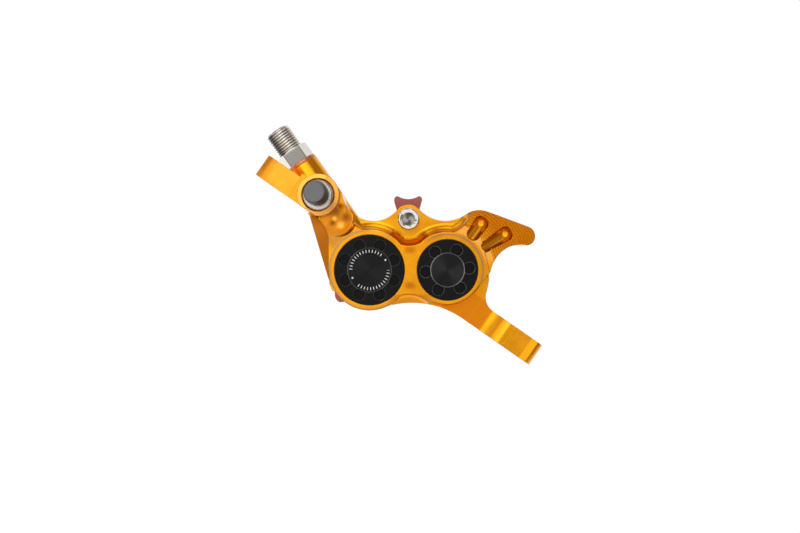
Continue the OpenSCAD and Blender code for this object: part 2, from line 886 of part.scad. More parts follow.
// Cup piston, its mouth against the pad: side is 1 for the outer half and -1 for the inner
module piston(c, r, side) {
  color(steel)
    placed()
      at(c)
        mirror([0, 0, side < 0 ? 1 : 0])
          difference() {
            translate([0, 0, piston_h])
              cylinder(r = r, h = piston_len);
            translate([0, 0, piston_h - over])
              cylinder(r = r - piston_wall, h = piston_len - piston_floor + over);
          }
}

module outer_piston_large() {
  piston(large, piston_r_large, 1);
}

module outer_piston_small() {
  piston(small, piston_r_small, 1);
}

module inner_piston_large() {
  piston(large, piston_r_large, -1);
}

module inner_piston_small() {
  piston(small, piston_r_small, -1);
}

// Square section seal in its groove
module piston_seal(c, r, side) {
  z = chamber_half + seal_back;
  color(rubber)
    placed()
      at(c)
        mirror([0, 0, side < 0 ? 1 : 0])
          ring(r + piston_fit, r + seal_t, z, z + seal_w);
}

module outer_seal_large() {
  piston_seal(large, piston_r_large, 1);
}

module outer_seal_small() {
  piston_seal(small, piston_r_small, 1);
}

module inner_seal_large() {
  piston_seal(large, piston_r_large, -1);
}

module inner_seal_small() {
  piston_seal(small, piston_r_small, -1);
}

// Hollow of a pad's lower edge, from corner to corner
module pad_hollow(inset) {
  half = (pad_right - pad_left) / 2;
  translate([(pad_left + pad_right) / 2, pad_bottom + inset - sqrt(pow(pad_hollow_r, 2) - pow(half, 2))])
    circle(pad_hollow_r, $fn = 180);
}

// Backing plate with the forked tab that hangs on the pin
module pad_plate(side) {
  lobe_x = tab_half - lobe_r;
  lobe_y = tab_top - lobe_r;
  shoulder_half = 7;
  fork_r = 5.4;
  fork_drop = 0.8;
  color(plate_red)
    placed()
      mirror([0, 0, side < 0 ? 1 : 0])
        difference() {
          union() {
            slab(plate_h, plate_back_h)
              rounded(pad_left, pad_bottom, pad_right, pad_top, pad_corner_r);
            slab(plate_h, plate_back_h)
              polygon([
                [pin[0] - shoulder_half, pad_top - 1], [pin[0] - tab_neck, pin[1] - 1],
                [pin[0] - tab_neck, pin[1] + 3], [pin[0] - tab_half + hair, lobe_y - lobe_r / 4],
                [pin[0] - lobe_x, lobe_y], [pin[0] - lobe_x, tab_top],
                [pin[0] + lobe_x, tab_top], [pin[0] + lobe_x, lobe_y],
                [pin[0] + tab_half - hair, lobe_y - lobe_r / 4], [pin[0] + tab_neck, pin[1] + 3],
                [pin[0] + tab_neck, pin[1] - 1], [pin[0] + shoulder_half, pad_top - 1]
              ]);
            for (s = [-1, 1])
              pillar([pin[0] + s * lobe_x, lobe_y], lobe_r, plate_h, plate_back_h);
          }
          pillar([pin[0], tab_top + fork_r - fork_drop], fork_r, plate_h - over, plate_back_h + over);
          pillar(pin, pin_r + pin_slack, plate_h - over, plate_back_h + over);
          slab(plate_h - over, plate_back_h + over)
            pad_hollow(0);
        }
}

module outer_pad_plate() {
  pad_plate(1);
}

module inner_pad_plate() {
  pad_plate(-1);
}

module pad_lining(side) {
  color(lining_grey)
    placed()
      mirror([0, 0, side < 0 ? 1 : 0])
        slab(lining_h, plate_h)
          difference() {
            rounded(
              pad_left + lining_inset, pad_bottom + lining_inset,
              pad_right - lining_inset, pad_top - lining_inset, pad_corner_r
            );
            translate([bore_mid - lining_groove / 2, pad_bottom - over])
              square([lining_groove, pad_drop + over]);
            pad_hollow(lining_inset);
          }
}

module outer_pad_lining() {
  pad_lining(1);
}

module inner_pad_lining() {
  pad_lining(-1);
}

// Line at a distance beside a bent one
function beside(points, d) = [for (i = [0:len(points) - 1]) let (
  back = points[i] - points[max(i - 1, 0)],
  ahead = points[min(i + 1, len(points) - 1)] - points[i],
  u = back == [0, 0] ? ahead / norm(ahead) : back / norm(back),
  w = ahead == [0, 0] ? u : ahead / norm(ahead)
) points[i] + d / (1 + u * w) * [-u[1] - w[1], u[0] + w[0]]];

// Leaf spring that hangs on the pin between the two pads
module pad_spring() {
  eye_r = pin_r + pin_fit;
  half_w = plate_h - spring_gap;
  bends = [
    [eye_r + leaf_t / 2, leaf_t / 4], [0.23 * spring_reach, -0.67 * spring_drop],
    [0.84 * spring_reach, -spring_drop], [spring_reach, -0.77 * spring_drop]
  ];
  left = beside(bends, leaf_t / 2);
  right = beside(bends, -leaf_t / 2);
  color(steel)
    placed()
      at(pin) {
        difference() {
          ring(eye_r, eye_r + leaf_t, -half_w, half_w);
          translate([-eye_r - over, -eye_r - over, -half_w - over])
            cube([2 * (eye_r + over), eye_r + over, 2 * (half_w + over)]);
        }
        for (s = [0, 1])
          mirror([s, 0, 0])
            slab(-half_w, half_w)
              polygon(concat(left, [for (i = [len(right) - 1:-1:0]) right[i]]));
      }
}

module pad_pin() {
  chamfer = 0.4;
  socket_floor = 1;
  dish = 0.5;
  dish_rim = 0.65;
  foot = -inner_floor_h - pin_end;
  head_r = pin_head_d / 2;
  head_top = terrace_h + pin_head_t;
  color(steel)
    placed()
      at(pin)
        difference() {
          turned([
            [0, foot], [pin_r, foot], [pin_r, clip_z - clip_t], [clip_groove_r, clip_z - clip_t],
            [clip_groove_r, clip_z], [pin_r, clip_z], [pin_r, terrace_h], [head_r, terrace_h],
            [head_r, head_top - chamfer], [head_r - chamfer, head_top], [0, head_top]
          ]);
          translate([0, 0, terrace_h + socket_floor])
            cylinder(d = pin_socket / cos(30), h = pin_head_t, $fn = 6);
          translate([0, 0, head_top - dish])
            cylinder(d1 = 1.08 * pin_socket, d2 = pin_head_d - 2 * dish_rim, h = dish + hair / 4);
        }
}

module pad_pin_clip() {
  clip_fit = 0.02;
  clip_mouth = 1.8;
  color(steel)
    placed()
      at(pin, clip_z - clip_t + clip_fit)
        linear_extrude(clip_t - 2 * clip_fit)
          difference() {
            circle(d = clip_d);
            circle(clip_groove_r + clip_fit);
            translate([-clip_mouth / 2, 0])
              square([clip_mouth, clip_d]);
          }
}

module bleed_nipple() {
  collar_slope = 0.8;
  spout_tip = 1;
  foot = bleed_seat_h - nipple_len;
  thread_r = nipple_d / 2;
  collar_r = collar_d / 2;
  collar_top = bleed_h + collar_slope / 2;
  spout_r = spout_d / 2;
  spout_top = bleed_h + spout_len;
  color(steel)
    placed()
      at(bleed)
        difference() {
          turned([
            [0, foot], [thread_r, foot], [thread_r, bleed_seat_h], [collar_r, bleed_seat_h],
            [collar_r, collar_top - collar_slope], [collar_r - collar_slope, collar_top],
            [spout_r, collar_top], [spout_r, spout_top - spout_tip], [spout_r - spout_tip / 2, spout_top],
            [0, spout_top]
          ]);
          translate([0, 0, bleed_seat_h - nipple_len / 2])
            cylinder(d = nipple_bore, h = nipple_len / 2 + nipple_seat + spout_len + over);
        }
}

// Rubber cap over the nipple's spout
module bleed_cap() {
  skirt_gap = 0.6;
  skirt_flare = 0.2;
  roof_gap = 0.2;
  hole_r = spout_d / 2 + bleed_cap_fit;
  cap_r = bleed_cap_d / 2;
  skirt_h = bleed_h + skirt_gap;
  roof_h = bleed_h + spout_len + roof_gap;
  top_h = bleed_h + bleed_cap_len;
  color(rubber)
    placed()
      at(bleed)
        turned([
          [hole_r, skirt_h], [cap_r - skirt_flare, skirt_h], [cap_r, top_h - bleed_cap_slope],
          [bleed_cap_top_d / 2, top_h], [0, top_h], [0, roof_h], [hole_r, roof_h]
        ]);
}

module hose_connector() {
  hex_z = washer_t + hex_len;
  thread_r = hose_thread_d / 2;
  thread_top = hex_z + hose_thread_len;
  thread_end = 0.35;
  mouth = 3;
  mouth_rim = 1.1;
  color(steel)
    placed()
      hose_frame()
        difference() {
          union() {
            translate([0, 0, -stub_len])
              cylinder(d = stub_d, h = stub_len + washer_t + bite);
            intersection() {
              translate([0, 0, washer_t])
                rotate(30)
                  cylinder(d = hex_af / cos(30), h = hex_len, $fn = 6);
              translate([0, 0, washer_t])
                cylinder(d1 = hex_af + 2 * hex_len / tan(hex_chamfer), d2 = hex_af, h = hex_len);
            }
            turned([
              [0, hex_z - bite], [thread_r, hex_z - bite], [thread_r, thread_top - thread_end],
              [thread_r - thread_end, thread_top], [0, thread_top]
            ]);
          }
          translate([0, 0, -stub_len - over])
            cylinder(d = gallery_d, h = stub_len + thread_top + 2 * over);
          translate([0, 0, thread_top - mouth])
            cylinder(d1 = gallery_d, d2 = hose_thread_d - 2 * mouth_rim, h = mouth + hair / 4);
        }
}

module connector_washer() {
  washer_inset = 0.15;
  color(copper)
    placed()
      hose_frame()
        ring(stub_d / 2 + thread_fit, hose_boss_r - washer_inset, 0, washer_t);
}

caliper_body();
outer_cap_large();
outer_cap_small();
cap_ring_large();
cap_ring_small();
outer_piston_large();
outer_piston_small();
inner_piston_large();
inner_piston_small();
outer_seal_large();
outer_seal_small();
inner_seal_large();
inner_seal_small();
outer_pad_plate();
outer_pad_lining();
inner_pad_plate();
inner_pad_lining();
pad_spring();
pad_pin();
pad_pin_clip();
bleed_nipple();
bleed_cap();
hose_connector();
connector_washer();
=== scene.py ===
"""Looks of a four piston disc brake caliper, laid out as an add-on and run as a script.

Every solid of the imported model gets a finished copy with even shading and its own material, the hose
connector gets a cut thread, and a stage with soft light and a camera is set round them. Lengths in the
script are in millimetres in the face frame: x across the outer face, y up it and z out of it from the
rotor plane.
"""

import json
import math

import bmesh
import bpy
from mathutils import Matrix, Vector

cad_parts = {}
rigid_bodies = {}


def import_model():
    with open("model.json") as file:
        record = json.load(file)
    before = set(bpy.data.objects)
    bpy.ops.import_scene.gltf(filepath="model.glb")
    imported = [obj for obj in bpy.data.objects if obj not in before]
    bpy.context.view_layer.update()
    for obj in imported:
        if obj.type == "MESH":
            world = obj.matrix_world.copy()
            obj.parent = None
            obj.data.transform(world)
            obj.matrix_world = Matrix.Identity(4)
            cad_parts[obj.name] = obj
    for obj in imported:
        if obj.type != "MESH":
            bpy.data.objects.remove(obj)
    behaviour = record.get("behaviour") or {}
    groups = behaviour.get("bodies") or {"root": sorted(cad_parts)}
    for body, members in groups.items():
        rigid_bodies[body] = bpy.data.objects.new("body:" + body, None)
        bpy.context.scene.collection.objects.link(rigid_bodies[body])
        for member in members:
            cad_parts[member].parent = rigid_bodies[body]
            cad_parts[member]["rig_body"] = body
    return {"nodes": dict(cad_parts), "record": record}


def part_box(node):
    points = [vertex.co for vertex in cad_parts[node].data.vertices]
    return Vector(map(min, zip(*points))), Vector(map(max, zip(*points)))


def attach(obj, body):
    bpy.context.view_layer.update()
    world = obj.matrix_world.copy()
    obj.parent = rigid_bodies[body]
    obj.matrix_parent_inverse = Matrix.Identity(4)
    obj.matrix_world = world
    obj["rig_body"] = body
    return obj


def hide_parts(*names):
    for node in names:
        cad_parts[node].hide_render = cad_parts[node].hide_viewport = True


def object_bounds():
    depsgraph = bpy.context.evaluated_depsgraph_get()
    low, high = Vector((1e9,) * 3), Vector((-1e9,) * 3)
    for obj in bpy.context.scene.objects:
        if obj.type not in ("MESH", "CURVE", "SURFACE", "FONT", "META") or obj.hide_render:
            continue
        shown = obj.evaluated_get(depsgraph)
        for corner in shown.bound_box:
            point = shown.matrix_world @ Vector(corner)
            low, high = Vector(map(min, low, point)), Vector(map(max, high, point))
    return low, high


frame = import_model()
CAD_BOX = [list(corner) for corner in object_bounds()]

bl_info = {
    "name": "Disc brake caliper looks",
    "version": (1, 0, 0),
    "blender": (4, 5, 0),
    "location": "View3D > Sidebar > Caliper",
    "description": "Finishes the solids of a disc brake caliper and sets a studio round them",
    "category": "Object",
}

MM = 0.001


def middle(node):
    """Middle of a solid's box, in metres."""
    low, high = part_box(node)
    return (low + high) / 2


# The face frame, from the two bore caps and the two linings
BORES = middle("outer_cap_small") - middle("outer_cap_large")
MOUNT_ANGLE = math.atan2(BORES.z, BORES.x)
ROTOR_Y = (middle("outer_pad_lining").y + middle("inner_pad_lining").y) / 2
FACE = (
    Matrix.Translation((0, ROTOR_Y, 0))
    @ Matrix.Rotation(-MOUNT_ANGLE, 4, "Y")
    @ Matrix.Rotation(math.pi / 2, 4, "X")
    @ Matrix.Scale(MM, 4)
)
TO_FACE = FACE.inverted()


def on_face(node):
    """Middle of a solid in the face frame."""
    return TO_FACE @ middle(node)


def top_of(node):
    """Height of a solid's outermost point over the rotor plane."""
    low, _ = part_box(node)
    return (ROTOR_Y - low.y) / MM


LARGE_BORE = on_face("outer_cap_large")
SMALL_BORE = on_face("outer_cap_small")
PIN = on_face("pad_pin")
BLEED = on_face("bleed_nipple")
FACE_H = top_of("outer_cap_large")
CAP_TOP_H = top_of("bleed_cap")
# Height where the horn's slope begins over the rotor plane, and its fall per millimetre
HORN_ROOT_H = 17.7
HORN_FALL = 0.65
# Height of the ears' outer faces, and the ways out of the face and down it
EAR_H = 15.6
OUT = (FACE.to_3x3() @ Vector((0, 0, 1))).normalized()
DOWN = (FACE.to_3x3() @ Vector((0, -1, 0))).normalized()
# Radii of the bosses round the two bores, of the bleed boss and of the caps' hubs
BOSS_LARGE_R = 10.6
BOSS_SMALL_R = 9.45
BLEED_BOSS_R = 5.55
HUB_LARGE_R = 5.8
HUB_SMALL_R = 4.5
# Middle of the hollow between the bleed boss and the larger bore
HOLLOW = Vector((BLEED.x + 4.6, BLEED.y - 6.3, FACE_H))


# Node building

class Value:
    """A node's output that sums and products can be written with."""

    def __init__(self, graph, socket):
        self.graph = graph
        self.socket = socket

    def _math(self, operation, *terms):
        return self.graph.add("ShaderNodeMath", {"operation": operation}, dict(enumerate(terms)))

    def __add__(self, other):
        return self._math("ADD", self, other)

    def __radd__(self, other):
        return self._math("ADD", other, self)

    def __sub__(self, other):
        return self._math("SUBTRACT", self, other)

    def __rsub__(self, other):
        return self._math("SUBTRACT", other, self)

    def __mul__(self, other):
        return self._math("MULTIPLY", self, other)

    def __rmul__(self, other):
        return self._math("MULTIPLY", other, self)

    def __truediv__(self, other):
        return self._math("DIVIDE", self, other)

    def sine(self):
        return self._math("SINE", self)

    def size(self):
        return self._math("ABSOLUTE", self)

    def root(self):
        return self._math("SQRT", self)

    def fraction(self):
        return self._math("FRACT", self)

    def most(self, other):
        return self._math("MAXIMUM", self, other)

    def turn_to(self, other):
        """Angle of the point (self, other), in degrees from 0 to 360."""
        turn = self._math("ARCTAN2", other, self) * (180 / math.pi)
        return self._math("FLOORED_MODULO", turn + 360, 360.0)

    def above(self, edge, soft):
        """0 below an edge and 1 above it, with a soft step."""
        return self.graph.add(
            "ShaderNodeMapRange",
            {"interpolation_type": "SMOOTHSTEP"},
            {"Value": self, "From Min": edge - soft, "From Max": edge + soft},
        )

    def below(self, edge, soft):
        """1 below an edge and 0 above it, with a soft step."""
        return 1 - self.above(edge, soft)

    def between(self, low, high, soft):
        """1 between two edges and 0 outside them, with soft steps."""
        return self.above(low, soft) * self.below(high, soft)


class Graph:
    """A node tree under construction. One method adds any node."""

    def __init__(self, tree):
        self.tree = tree
        tree.nodes.clear()

    def add(self, kind, settings=None, sockets=None, out=0):
        """Adds a node: its settings come first, then the values or links of its sockets."""
        node = self.tree.nodes.new(kind)
        for name, value in (settings or {}).items():
            setattr(node, name, value)
        for key, value in (sockets or {}).items():
            if isinstance(value, Value):
                self.tree.links.new(value.socket, node.inputs[key])
            else:
                node.inputs[key].default_value = value
        return Value(self, node.outputs[out]) if node.outputs else node

    def mix(self, factor, a, b):
        """Blend of two colours."""
        return self.add("ShaderNodeMix", {"data_type": "RGBA"}, {0: factor, 6: a, 7: b}, out=2)

    def mix_normal(self, factor, a, b):
        """Blend of two normals."""
        blend = self.add("ShaderNodeMix", {"data_type": "VECTOR"}, {0: factor, 4: a, 5: b}, out=1)
        return self.add("ShaderNodeVectorMath", {"operation": "NORMALIZE"}, {0: blend})

    def parts(self, vector):
        """The three numbers of a vector."""
        first = self.add("ShaderNodeSeparateXYZ", None, {0: vector})
        outputs = first.socket.node.outputs
        return [Value(self, outputs[i]) for i in range(3)]


class Finish(Graph):
    """A material: its patterns are drawn in the face frame, in millimetres."""

    def __init__(self, name):
        self.material = bpy.data.materials.new(name)
        self.material.use_nodes = True
        super().__init__(self.material.node_tree)
        self.point = self.seen_from(FACE)

    def seen_from(self, place):
        """Object coordinates in another frame."""
        where = self.add("ShaderNodeTexCoord", None, None, out="Object")
        move, turn, scale = place.decompose()
        sockets = {"Vector": where, "Location": move, "Rotation": turn.to_euler(), "Scale": scale}
        return self.add("ShaderNodeMapping", {"vector_type": "TEXTURE"}, sockets)

    def around(self, centre):
        """Distance from an axis through the face, and the turn about it in degrees."""
        x, y, _ = self.parts(self.point)
        x, y = x - centre.x, y - centre.y
        return (x * x + y * y).root(), x.turn_to(y)

    def noise(self, scale, detail=3.0, rough=0.55, point=None):
        """Noise with so many blotches to a millimetre."""
        return self.add("ShaderNodeTexNoise", None, {
            "Vector": point or self.point, "Scale": scale, "Detail": detail, "Roughness": rough})

    def soft_edge(self, radius):
        """Normal that rounds the sharp edges by a radius in millimetres."""
        return self.add("ShaderNodeBevel", {"samples": 6}, {"Radius": radius * MM})

    def spots(self, centre, places):
        """Mask of soft round spots, each at a shift from a centre and with a radius, in millimetres."""
        spots = 0.0
        for shift_x, shift_y, radius in places:
            far, _ = self.around(centre + Vector((shift_x, shift_y, 0)))
            spots = far.below(radius / 2, radius / 2).most(spots)
        return spots

    def bump(self, height, depth, normal=None):
        """Normal of a relief whose height of 1 stands for a depth in millimetres."""
        sockets = {"Strength": 1.0, "Distance": depth * MM, "Height": height}
        if normal:
            sockets["Normal"] = normal
        return self.add("ShaderNodeBump", None, sockets)

    def facing(self, direction, normal=None):
        """Cosine between a direction and a normal, the true one if none is given."""
        normal = normal or self.add("ShaderNodeNewGeometry", None, None, out="True Normal")
        terms = {0: direction, 1: normal}
        return self.add("ShaderNodeVectorMath", {"operation": "DOT_PRODUCT"}, terms, out="Value")

    def edge_wear_and_light(self, normal, gain):
        """Mask of the edges, from how far the rounded normal leans away from the true one: real wear on the
        backing plates, painted edge shade on the body and painted edge highlights on the caps.
        """
        return ((1 - self.facing(normal)) * gain).above(0.5, 0.5)

    def shade(self, sockets):
        """Closes the material with its surface."""
        surface = self.add("ShaderNodeBsdfPrincipled", None, sockets)
        self.add("ShaderNodeOutputMaterial", None, {"Surface": surface})
        return self.material


def tone(colour, gain=1.0):
    """A colour with full alpha, brighter or darker by a factor."""
    return (*(min(1.0, channel * gain) for channel in colour[:3]), 1.0)


# Finishes

class BodyFinish(Finish):
    """Satin orange anodised aluminium, milled: each step lays one region's tones over the colour so far,
    many of them painted shade and painted highlights.
    """

    # Tones beside the body's own colour, among them painted shade and painted highlights
    PALE_PATCH = (0.66, 0.37, 0.14)
    DRY_PATCH = (0.46, 0.2, 0.03)
    HORN_SHADE = (0.52, 0.14, 0.003)
    POCKET_WALL_SHADE = (0.36, 0.17, 0.03)
    RIM_HIGHLIGHT = (0.34, 0.21, 0.11)
    WEB_DIP_SHADE = (0.55, 0.15, 0.002)
    WEB_END_SHADE = (0.5, 0.15, 0.003)
    TERRACE_HIGHLIGHT = (1.0, 0.52, 0.01)
    VALLEY_SHADE = (0.58, 0.19, 0.008)
    DARK_ORANGE_SHADE = (0.62, 0.16, 0.001)
    BROWN_SHADE = (0.2, 0.055, 0.002)
    GLINT = (0.98, 0.5, 0.06)
    BOSS_FACE = (0.76, 0.38, 0.09)
    BOSS_FOOT_SHADOW = (0.32, 0.1, 0.004)
    COVE_SHADE = (0.55, 0.19, 0.006)
    EDGE_SHADE = (0.3, 0.09, 0.006)
    LOWER_EDGE_SHADE = (0.1, 0.035, 0.004)
    LEFT_EAR = (0.72, 0.272, 0.018)
    STREAK = (0.5, 0.17, 0.004)
    ARM_ROOT_SHADE = (0.55, 0.14, 0.002)
    FLANK = (0.33, 0.085, 0.002)
    # Sectors about a bore: from and to a radius in millimetres, and from and to an angle in degrees
    PALE_SECTOR = (10.1, 12.3, 12.0, 86.0)
    DRY_SECTOR = (10.9, 16.5, 116.0, 150.0)
    FLANK_SECTOR = (BOSS_LARGE_R, 21.5, 118.0, 200.0)
    # Angles of the horn, its pockets and the right arm's root about the smaller bore, in degrees
    HORN_ANGLES = (2.0, 84.0)
    POCKET_ANGLES = (20.0, 70.0)
    ROOT_ANGLES = (262.0, 352.0)
    # Run of the pockets, in millimetres from where the steps begin
    POCKET_RUN = (-1.5, 7.5)
    # The dips' distance from the middle of the web, in millimetres
    DIP_SHIFT = 4.65
    # Spots of painted shade and painted glints in the hollow, and a painted highlight on the terrace above
    # the larger bore: a shift and a radius, in millimetres
    DARK_ORANGE_SHADE_SPOTS = ((3.4, -2.4, 3.2), (1.9, -3.8, 2.4))
    BROWN_SHADE_SPOTS = ((-0.9, -0.9, 1.4), (-0.2, 2.2, 3.0), (2.6, 0.6, 2.1), (1.1, 3.4, 1.6))
    GLINT_SPOTS = ((1.2, -1.5, 1.5), (-0.4, 0.2, 1.0))
    TERRACE_SPOTS = ((2.6, 11.4, 4.2),)
    # Places along the row of the two ears, in millimetres
    RIGHT_FLAT = (24.0, 42.6)
    LEFT_FLAT = (-36.0, -29.5)
    LEFT_EAR_FROM = -26.0
    LEFT_SLOPE_FROM = -28.0
    LEFT_TIP_FROM = -41.4
    ARM_ROOT_TO = 28.2
    ARM_RISE_AT = 31.0
    ARM_FALL_AT = 41.5
    # Depth that a relief of 1 stands for, in millimetres
    RELIEF = 0.12

    def __init__(self, looks):
        super().__init__("orange_anodise")
        self.looks = looks
        self.x, self.y, self.z = self.parts(self.point)
        self.far_large, self.turn_large = self.around(LARGE_BORE)
        self.far_small, self.turn_small = self.around(SMALL_BORE)
        # Along the row of the two ears, and up across it
        self.row, _, self.lift = self.parts(self.seen_from(Matrix.Scale(MM, 4)))
        self.out = self.facing(OUT)
        self.front = self.out.above(0.7, 0.15)
        self.cloud = self.noise(0.35, 4.0)
        self.grain = self.noise(9.0, 2.0, 0.6)
        self.edge = self.soft_edge(looks.edge)
        dark, light = tone(looks.body_colour, 0.96), tone(looks.body_colour, 1.03)
        self.colour = self.mix(self.cloud.above(0.5, 0.35), dark, light)

    def tint(self, mask, colour, strength=1.0):
        """Lays a tone over the colour so far, as far as a mask lets it."""
        self.colour = self.mix(mask * strength, self.colour, tone(colour))

    def near_face(self, depth, soft):
        """Mask of what lies no deeper than a depth under the outer face."""
        return self.z.above(FACE_H - depth, soft)

    def sector(self, far, turn, limits, soft, soft_angle):
        """Mask of a sector, from the distance and the turn about its bore."""
        inner, outer, first, last = limits
        return far.between(inner, outer, soft) * turn.between(first, last, soft_angle)

    def patches(self):
        """Paler, drier patches: one by the horn with the mill's arcs and one on the neck with a grain."""
        top = self.near_face(1.6, 0.3)
        by_horn = self.sector(self.far_small, self.turn_small, self.PALE_SECTOR, 0.25, 8.0)
        self.pale = by_horn * top * (0.5 + 0.5 * self.grain)
        self.tint(self.pale, self.PALE_PATCH, 0.55)
        on_neck = self.sector(self.far_large, self.turn_large, self.DRY_SECTOR, 0.5, 6.0)
        self.dry = on_neck * top * (0.6 + 0.5 * self.grain)
        self.tint(self.dry, self.DRY_PATCH)

    def horn(self):
        """The horn's steps, with painted shade that makes them duller and redder further out, and the place
        of its two pockets.
        """
        run = self.far_small - self.looks.step_from
        over_slope = self.z - (HORN_ROOT_H - run * HORN_FALL)
        stepped = run.above(0.0, 0.05) * self.turn_small.between(*self.HORN_ANGLES, 1.0)
        self.steps = stepped * over_slope.above(-1.2, 0.4)
        # Painted shade: the steps are tinted darker and redder, more so further out
        self.tint(self.steps * (0.55 + 0.35 * run.above(2.5, 2.5)), self.HORN_SHADE)
        self.pockets = run.between(*self.POCKET_RUN, 0.3) * self.turn_small.between(*self.POCKET_ANGLES, 4.0)
        self.pocket_floors = self.pockets * over_slope.below(-0.5, 0.3)

    def bosses_and_web(self):
        """Painted highlights on the rims of the two bosses, and painted shade that stands for two shallow
        dips in the web between them.
        """
        middle_x = (LARGE_BORE.x + SMALL_BORE.x) / 2 + 0.35
        middle_y = LARGE_BORE.y + 0.6
        self.across = (self.x - middle_x).size()
        from_dips = ((self.y - middle_y).size() - self.DIP_SHIFT).size()
        rim_large = self.far_large.between(BOSS_LARGE_R - 0.55, BOSS_LARGE_R + 0.1, 0.15)
        rim_small = self.far_small.between(BOSS_SMALL_R - 0.5, BOSS_SMALL_R + 0.1, 0.15)
        rims = rim_large.most(rim_small) * self.near_face(0.9, 0.2)
        # Painted highlight along the bosses' rims
        self.tint(rims * self.across.above(5.0, 1.0), self.RIM_HIGHLIGHT, 0.6)
        # Painted shade standing for two shallow dips in the web
        dip_shade = self.across.below(1.3, 0.9) * from_dips.below(0.8, 0.7) * self.near_face(0.6, 0.1)
        self.tint(dip_shade, self.WEB_DIP_SHADE, 0.85)

    def hollow(self):
        """The hollow beside the bleed boss: painted shade in a brown valley with darker spots, and two
        painted glints for the highlights that its curves catch.
        """
        near, _ = self.around(HOLLOW)
        outside = self.far_large.above(BOSS_LARGE_R + 0.1, 0.1)
        self.valley = near.below(4.4, 0.6) * self.out.above(0.15, 0.1) * outside
        # Painted shade over the valley, then darker orange and brown spots of painted shade, then painted
        # glints
        self.tint(self.valley, self.VALLEY_SHADE, 0.8)
        self.tint(self.valley * self.spots(HOLLOW, self.DARK_ORANGE_SHADE_SPOTS), self.DARK_ORANGE_SHADE, 0.7)
        self.tint(self.valley * self.spots(HOLLOW, self.BROWN_SHADE_SPOTS), self.BROWN_SHADE, 0.92)
        self.tint(self.valley * self.spots(HOLLOW, self.GLINT_SPOTS), self.GLINT, 0.9)

    def bleed_boss(self):
        """A paler face, and a dark line of painted shadow where the boss's wall meets the ear and the neck.
        """
        far, _ = self.around(BLEED)
        self.tint(far.below(BLEED_BOSS_R + 0.05, 0.1) * self.out.above(0.9, 0.05), self.BOSS_FACE, 0.6)
        # Painted shadow round the foot of the boss
        self.tint(far.between(BLEED_BOSS_R - 0.05, BLEED_BOSS_R + 0.45, 0.25), self.BOSS_FOOT_SHADOW, 0.55)

    def terrace_and_web_end(self):
        """A painted highlight makes the terrace left of the pin brighter, and painted shade makes the lower
        end of the web darker.
        """
        bright = self.spots(LARGE_BORE, self.TERRACE_SPOTS) * self.out.above(0.3, 0.1)
        self.tint(bright, self.TERRACE_HIGHLIGHT, 0.9)
        low = (self.y - LARGE_BORE.y).below(-6.4, 0.5) * self.across.below(5.0, 1.5)
        self.tint(low * self.front, self.WEB_END_SHADE, 0.6)

    def coves_and_edges(self):
        """Painted shade: coves and edges are darker and redder, the lower edges nearly black."""
        reach = {"Distance": 3 * MM}
        open_air = self.add("ShaderNodeAmbientOcclusion", {"samples": 8}, reach, out="AO")
        cove_shade = (1 - open_air) * (1 - self.valley.most(self.pockets * 0.8))
        # Painted shade in the coves, from ambient occlusion
        self.tint(cove_shade * (0.55 - 0.3 * self.front), self.COVE_SHADE)
        # Painted shade on the pockets' steep walls
        self.tint(self.pockets * self.out.below(0.75, 0.2), self.POCKET_WALL_SHADE, 0.55)
        # Painted shade along the edges, nearly black on the lower edges
        edges = self.edge_wear_and_light(self.edge, 7.0) * (1 - self.valley)
        self.tint(edges, self.EDGE_SHADE, 0.55)
        self.tint(edges * self.facing(DOWN, self.edge).above(0.15, 0.15), self.LOWER_EDGE_SHADE, 0.8)

    def ears(self):
        """Outer faces of the ears: the mill's streaks, a duller left ear and painted shade on the right
        arm's root.
        """
        outer = self.front * self.lift.below(7.5, 0.5) * self.z.below(EAR_H + 0.8, 0.3)
        right_flat = self.row.between(*self.RIGHT_FLAT, 0.3)
        left_flat = self.row.between(*self.LEFT_FLAT, 0.6)
        self.flats = right_flat.most(left_flat) * outer
        self.left_tip = self.row.below(self.LEFT_TIP_FROM, 0.7) * self.out.above(0.3, 0.2)
        drawn_out = self.seen_from(Matrix.Diagonal((MM, 12 * MM, 12 * MM, 1)))
        self.streaks = self.noise(1.0, 2.0, 0.5, drawn_out)
        left_ear = self.row.below(self.LEFT_EAR_FROM, 0.8) * outer
        self.tint(left_ear, self.LEFT_EAR, 0.85)
        self.tint(left_ear * self.streaks.above(0.62, 0.05), self.STREAK, 0.35)
        by_boss = self.far_small.above(BOSS_SMALL_R + 0.15, 0.1)
        by_boss = by_boss * self.turn_small.between(*self.ROOT_ANGLES, 4.0)
        self.arm_root = self.row.below(self.ARM_ROOT_TO, 0.6) * by_boss * outer
        # Painted shade on the right arm's root
        self.tint(self.arm_root, self.ARM_ROOT_SHADE, 0.75)

    def flank(self):
        """The flank under the bleed boss lies in the boss's shade."""
        side = self.sector(self.far_large, self.turn_large, self.FLANK_SECTOR, 0.6, 6.0)
        self.tint(side * (1 - self.near_face(2.2, 0.4)), self.FLANK, 0.88)

    def relief(self):
        """Height of the relief: grain, mill marks, the ears' slopes and turned bore ends at the back."""
        milled = (self.far_small * 21.0 + self.cloud * 6.0).sine()
        arcs = (self.far_large * 9.0).sine()
        sway = self.noise(0.1, 1.0)
        fine = self.grain * 0.015 + milled * 0.004 + sway * 2.0
        on_patches = self.pale * arcs * 0.12 + self.dry * self.grain * 0.3
        # The right arm rises to its ear and falls at its end, the left ear slopes to its tip
        rise = self.row.above(self.ARM_RISE_AT, 3.2) * 18.0
        fall = self.row.above(self.ARM_FALL_AT, 1.3) * 2.7
        left_slope = (self.LEFT_SLOPE_FROM - self.row).most(0.0) * 0.6
        on_ears = self.streaks * self.flats * 0.35 + (rise - fall - left_slope) * self.front
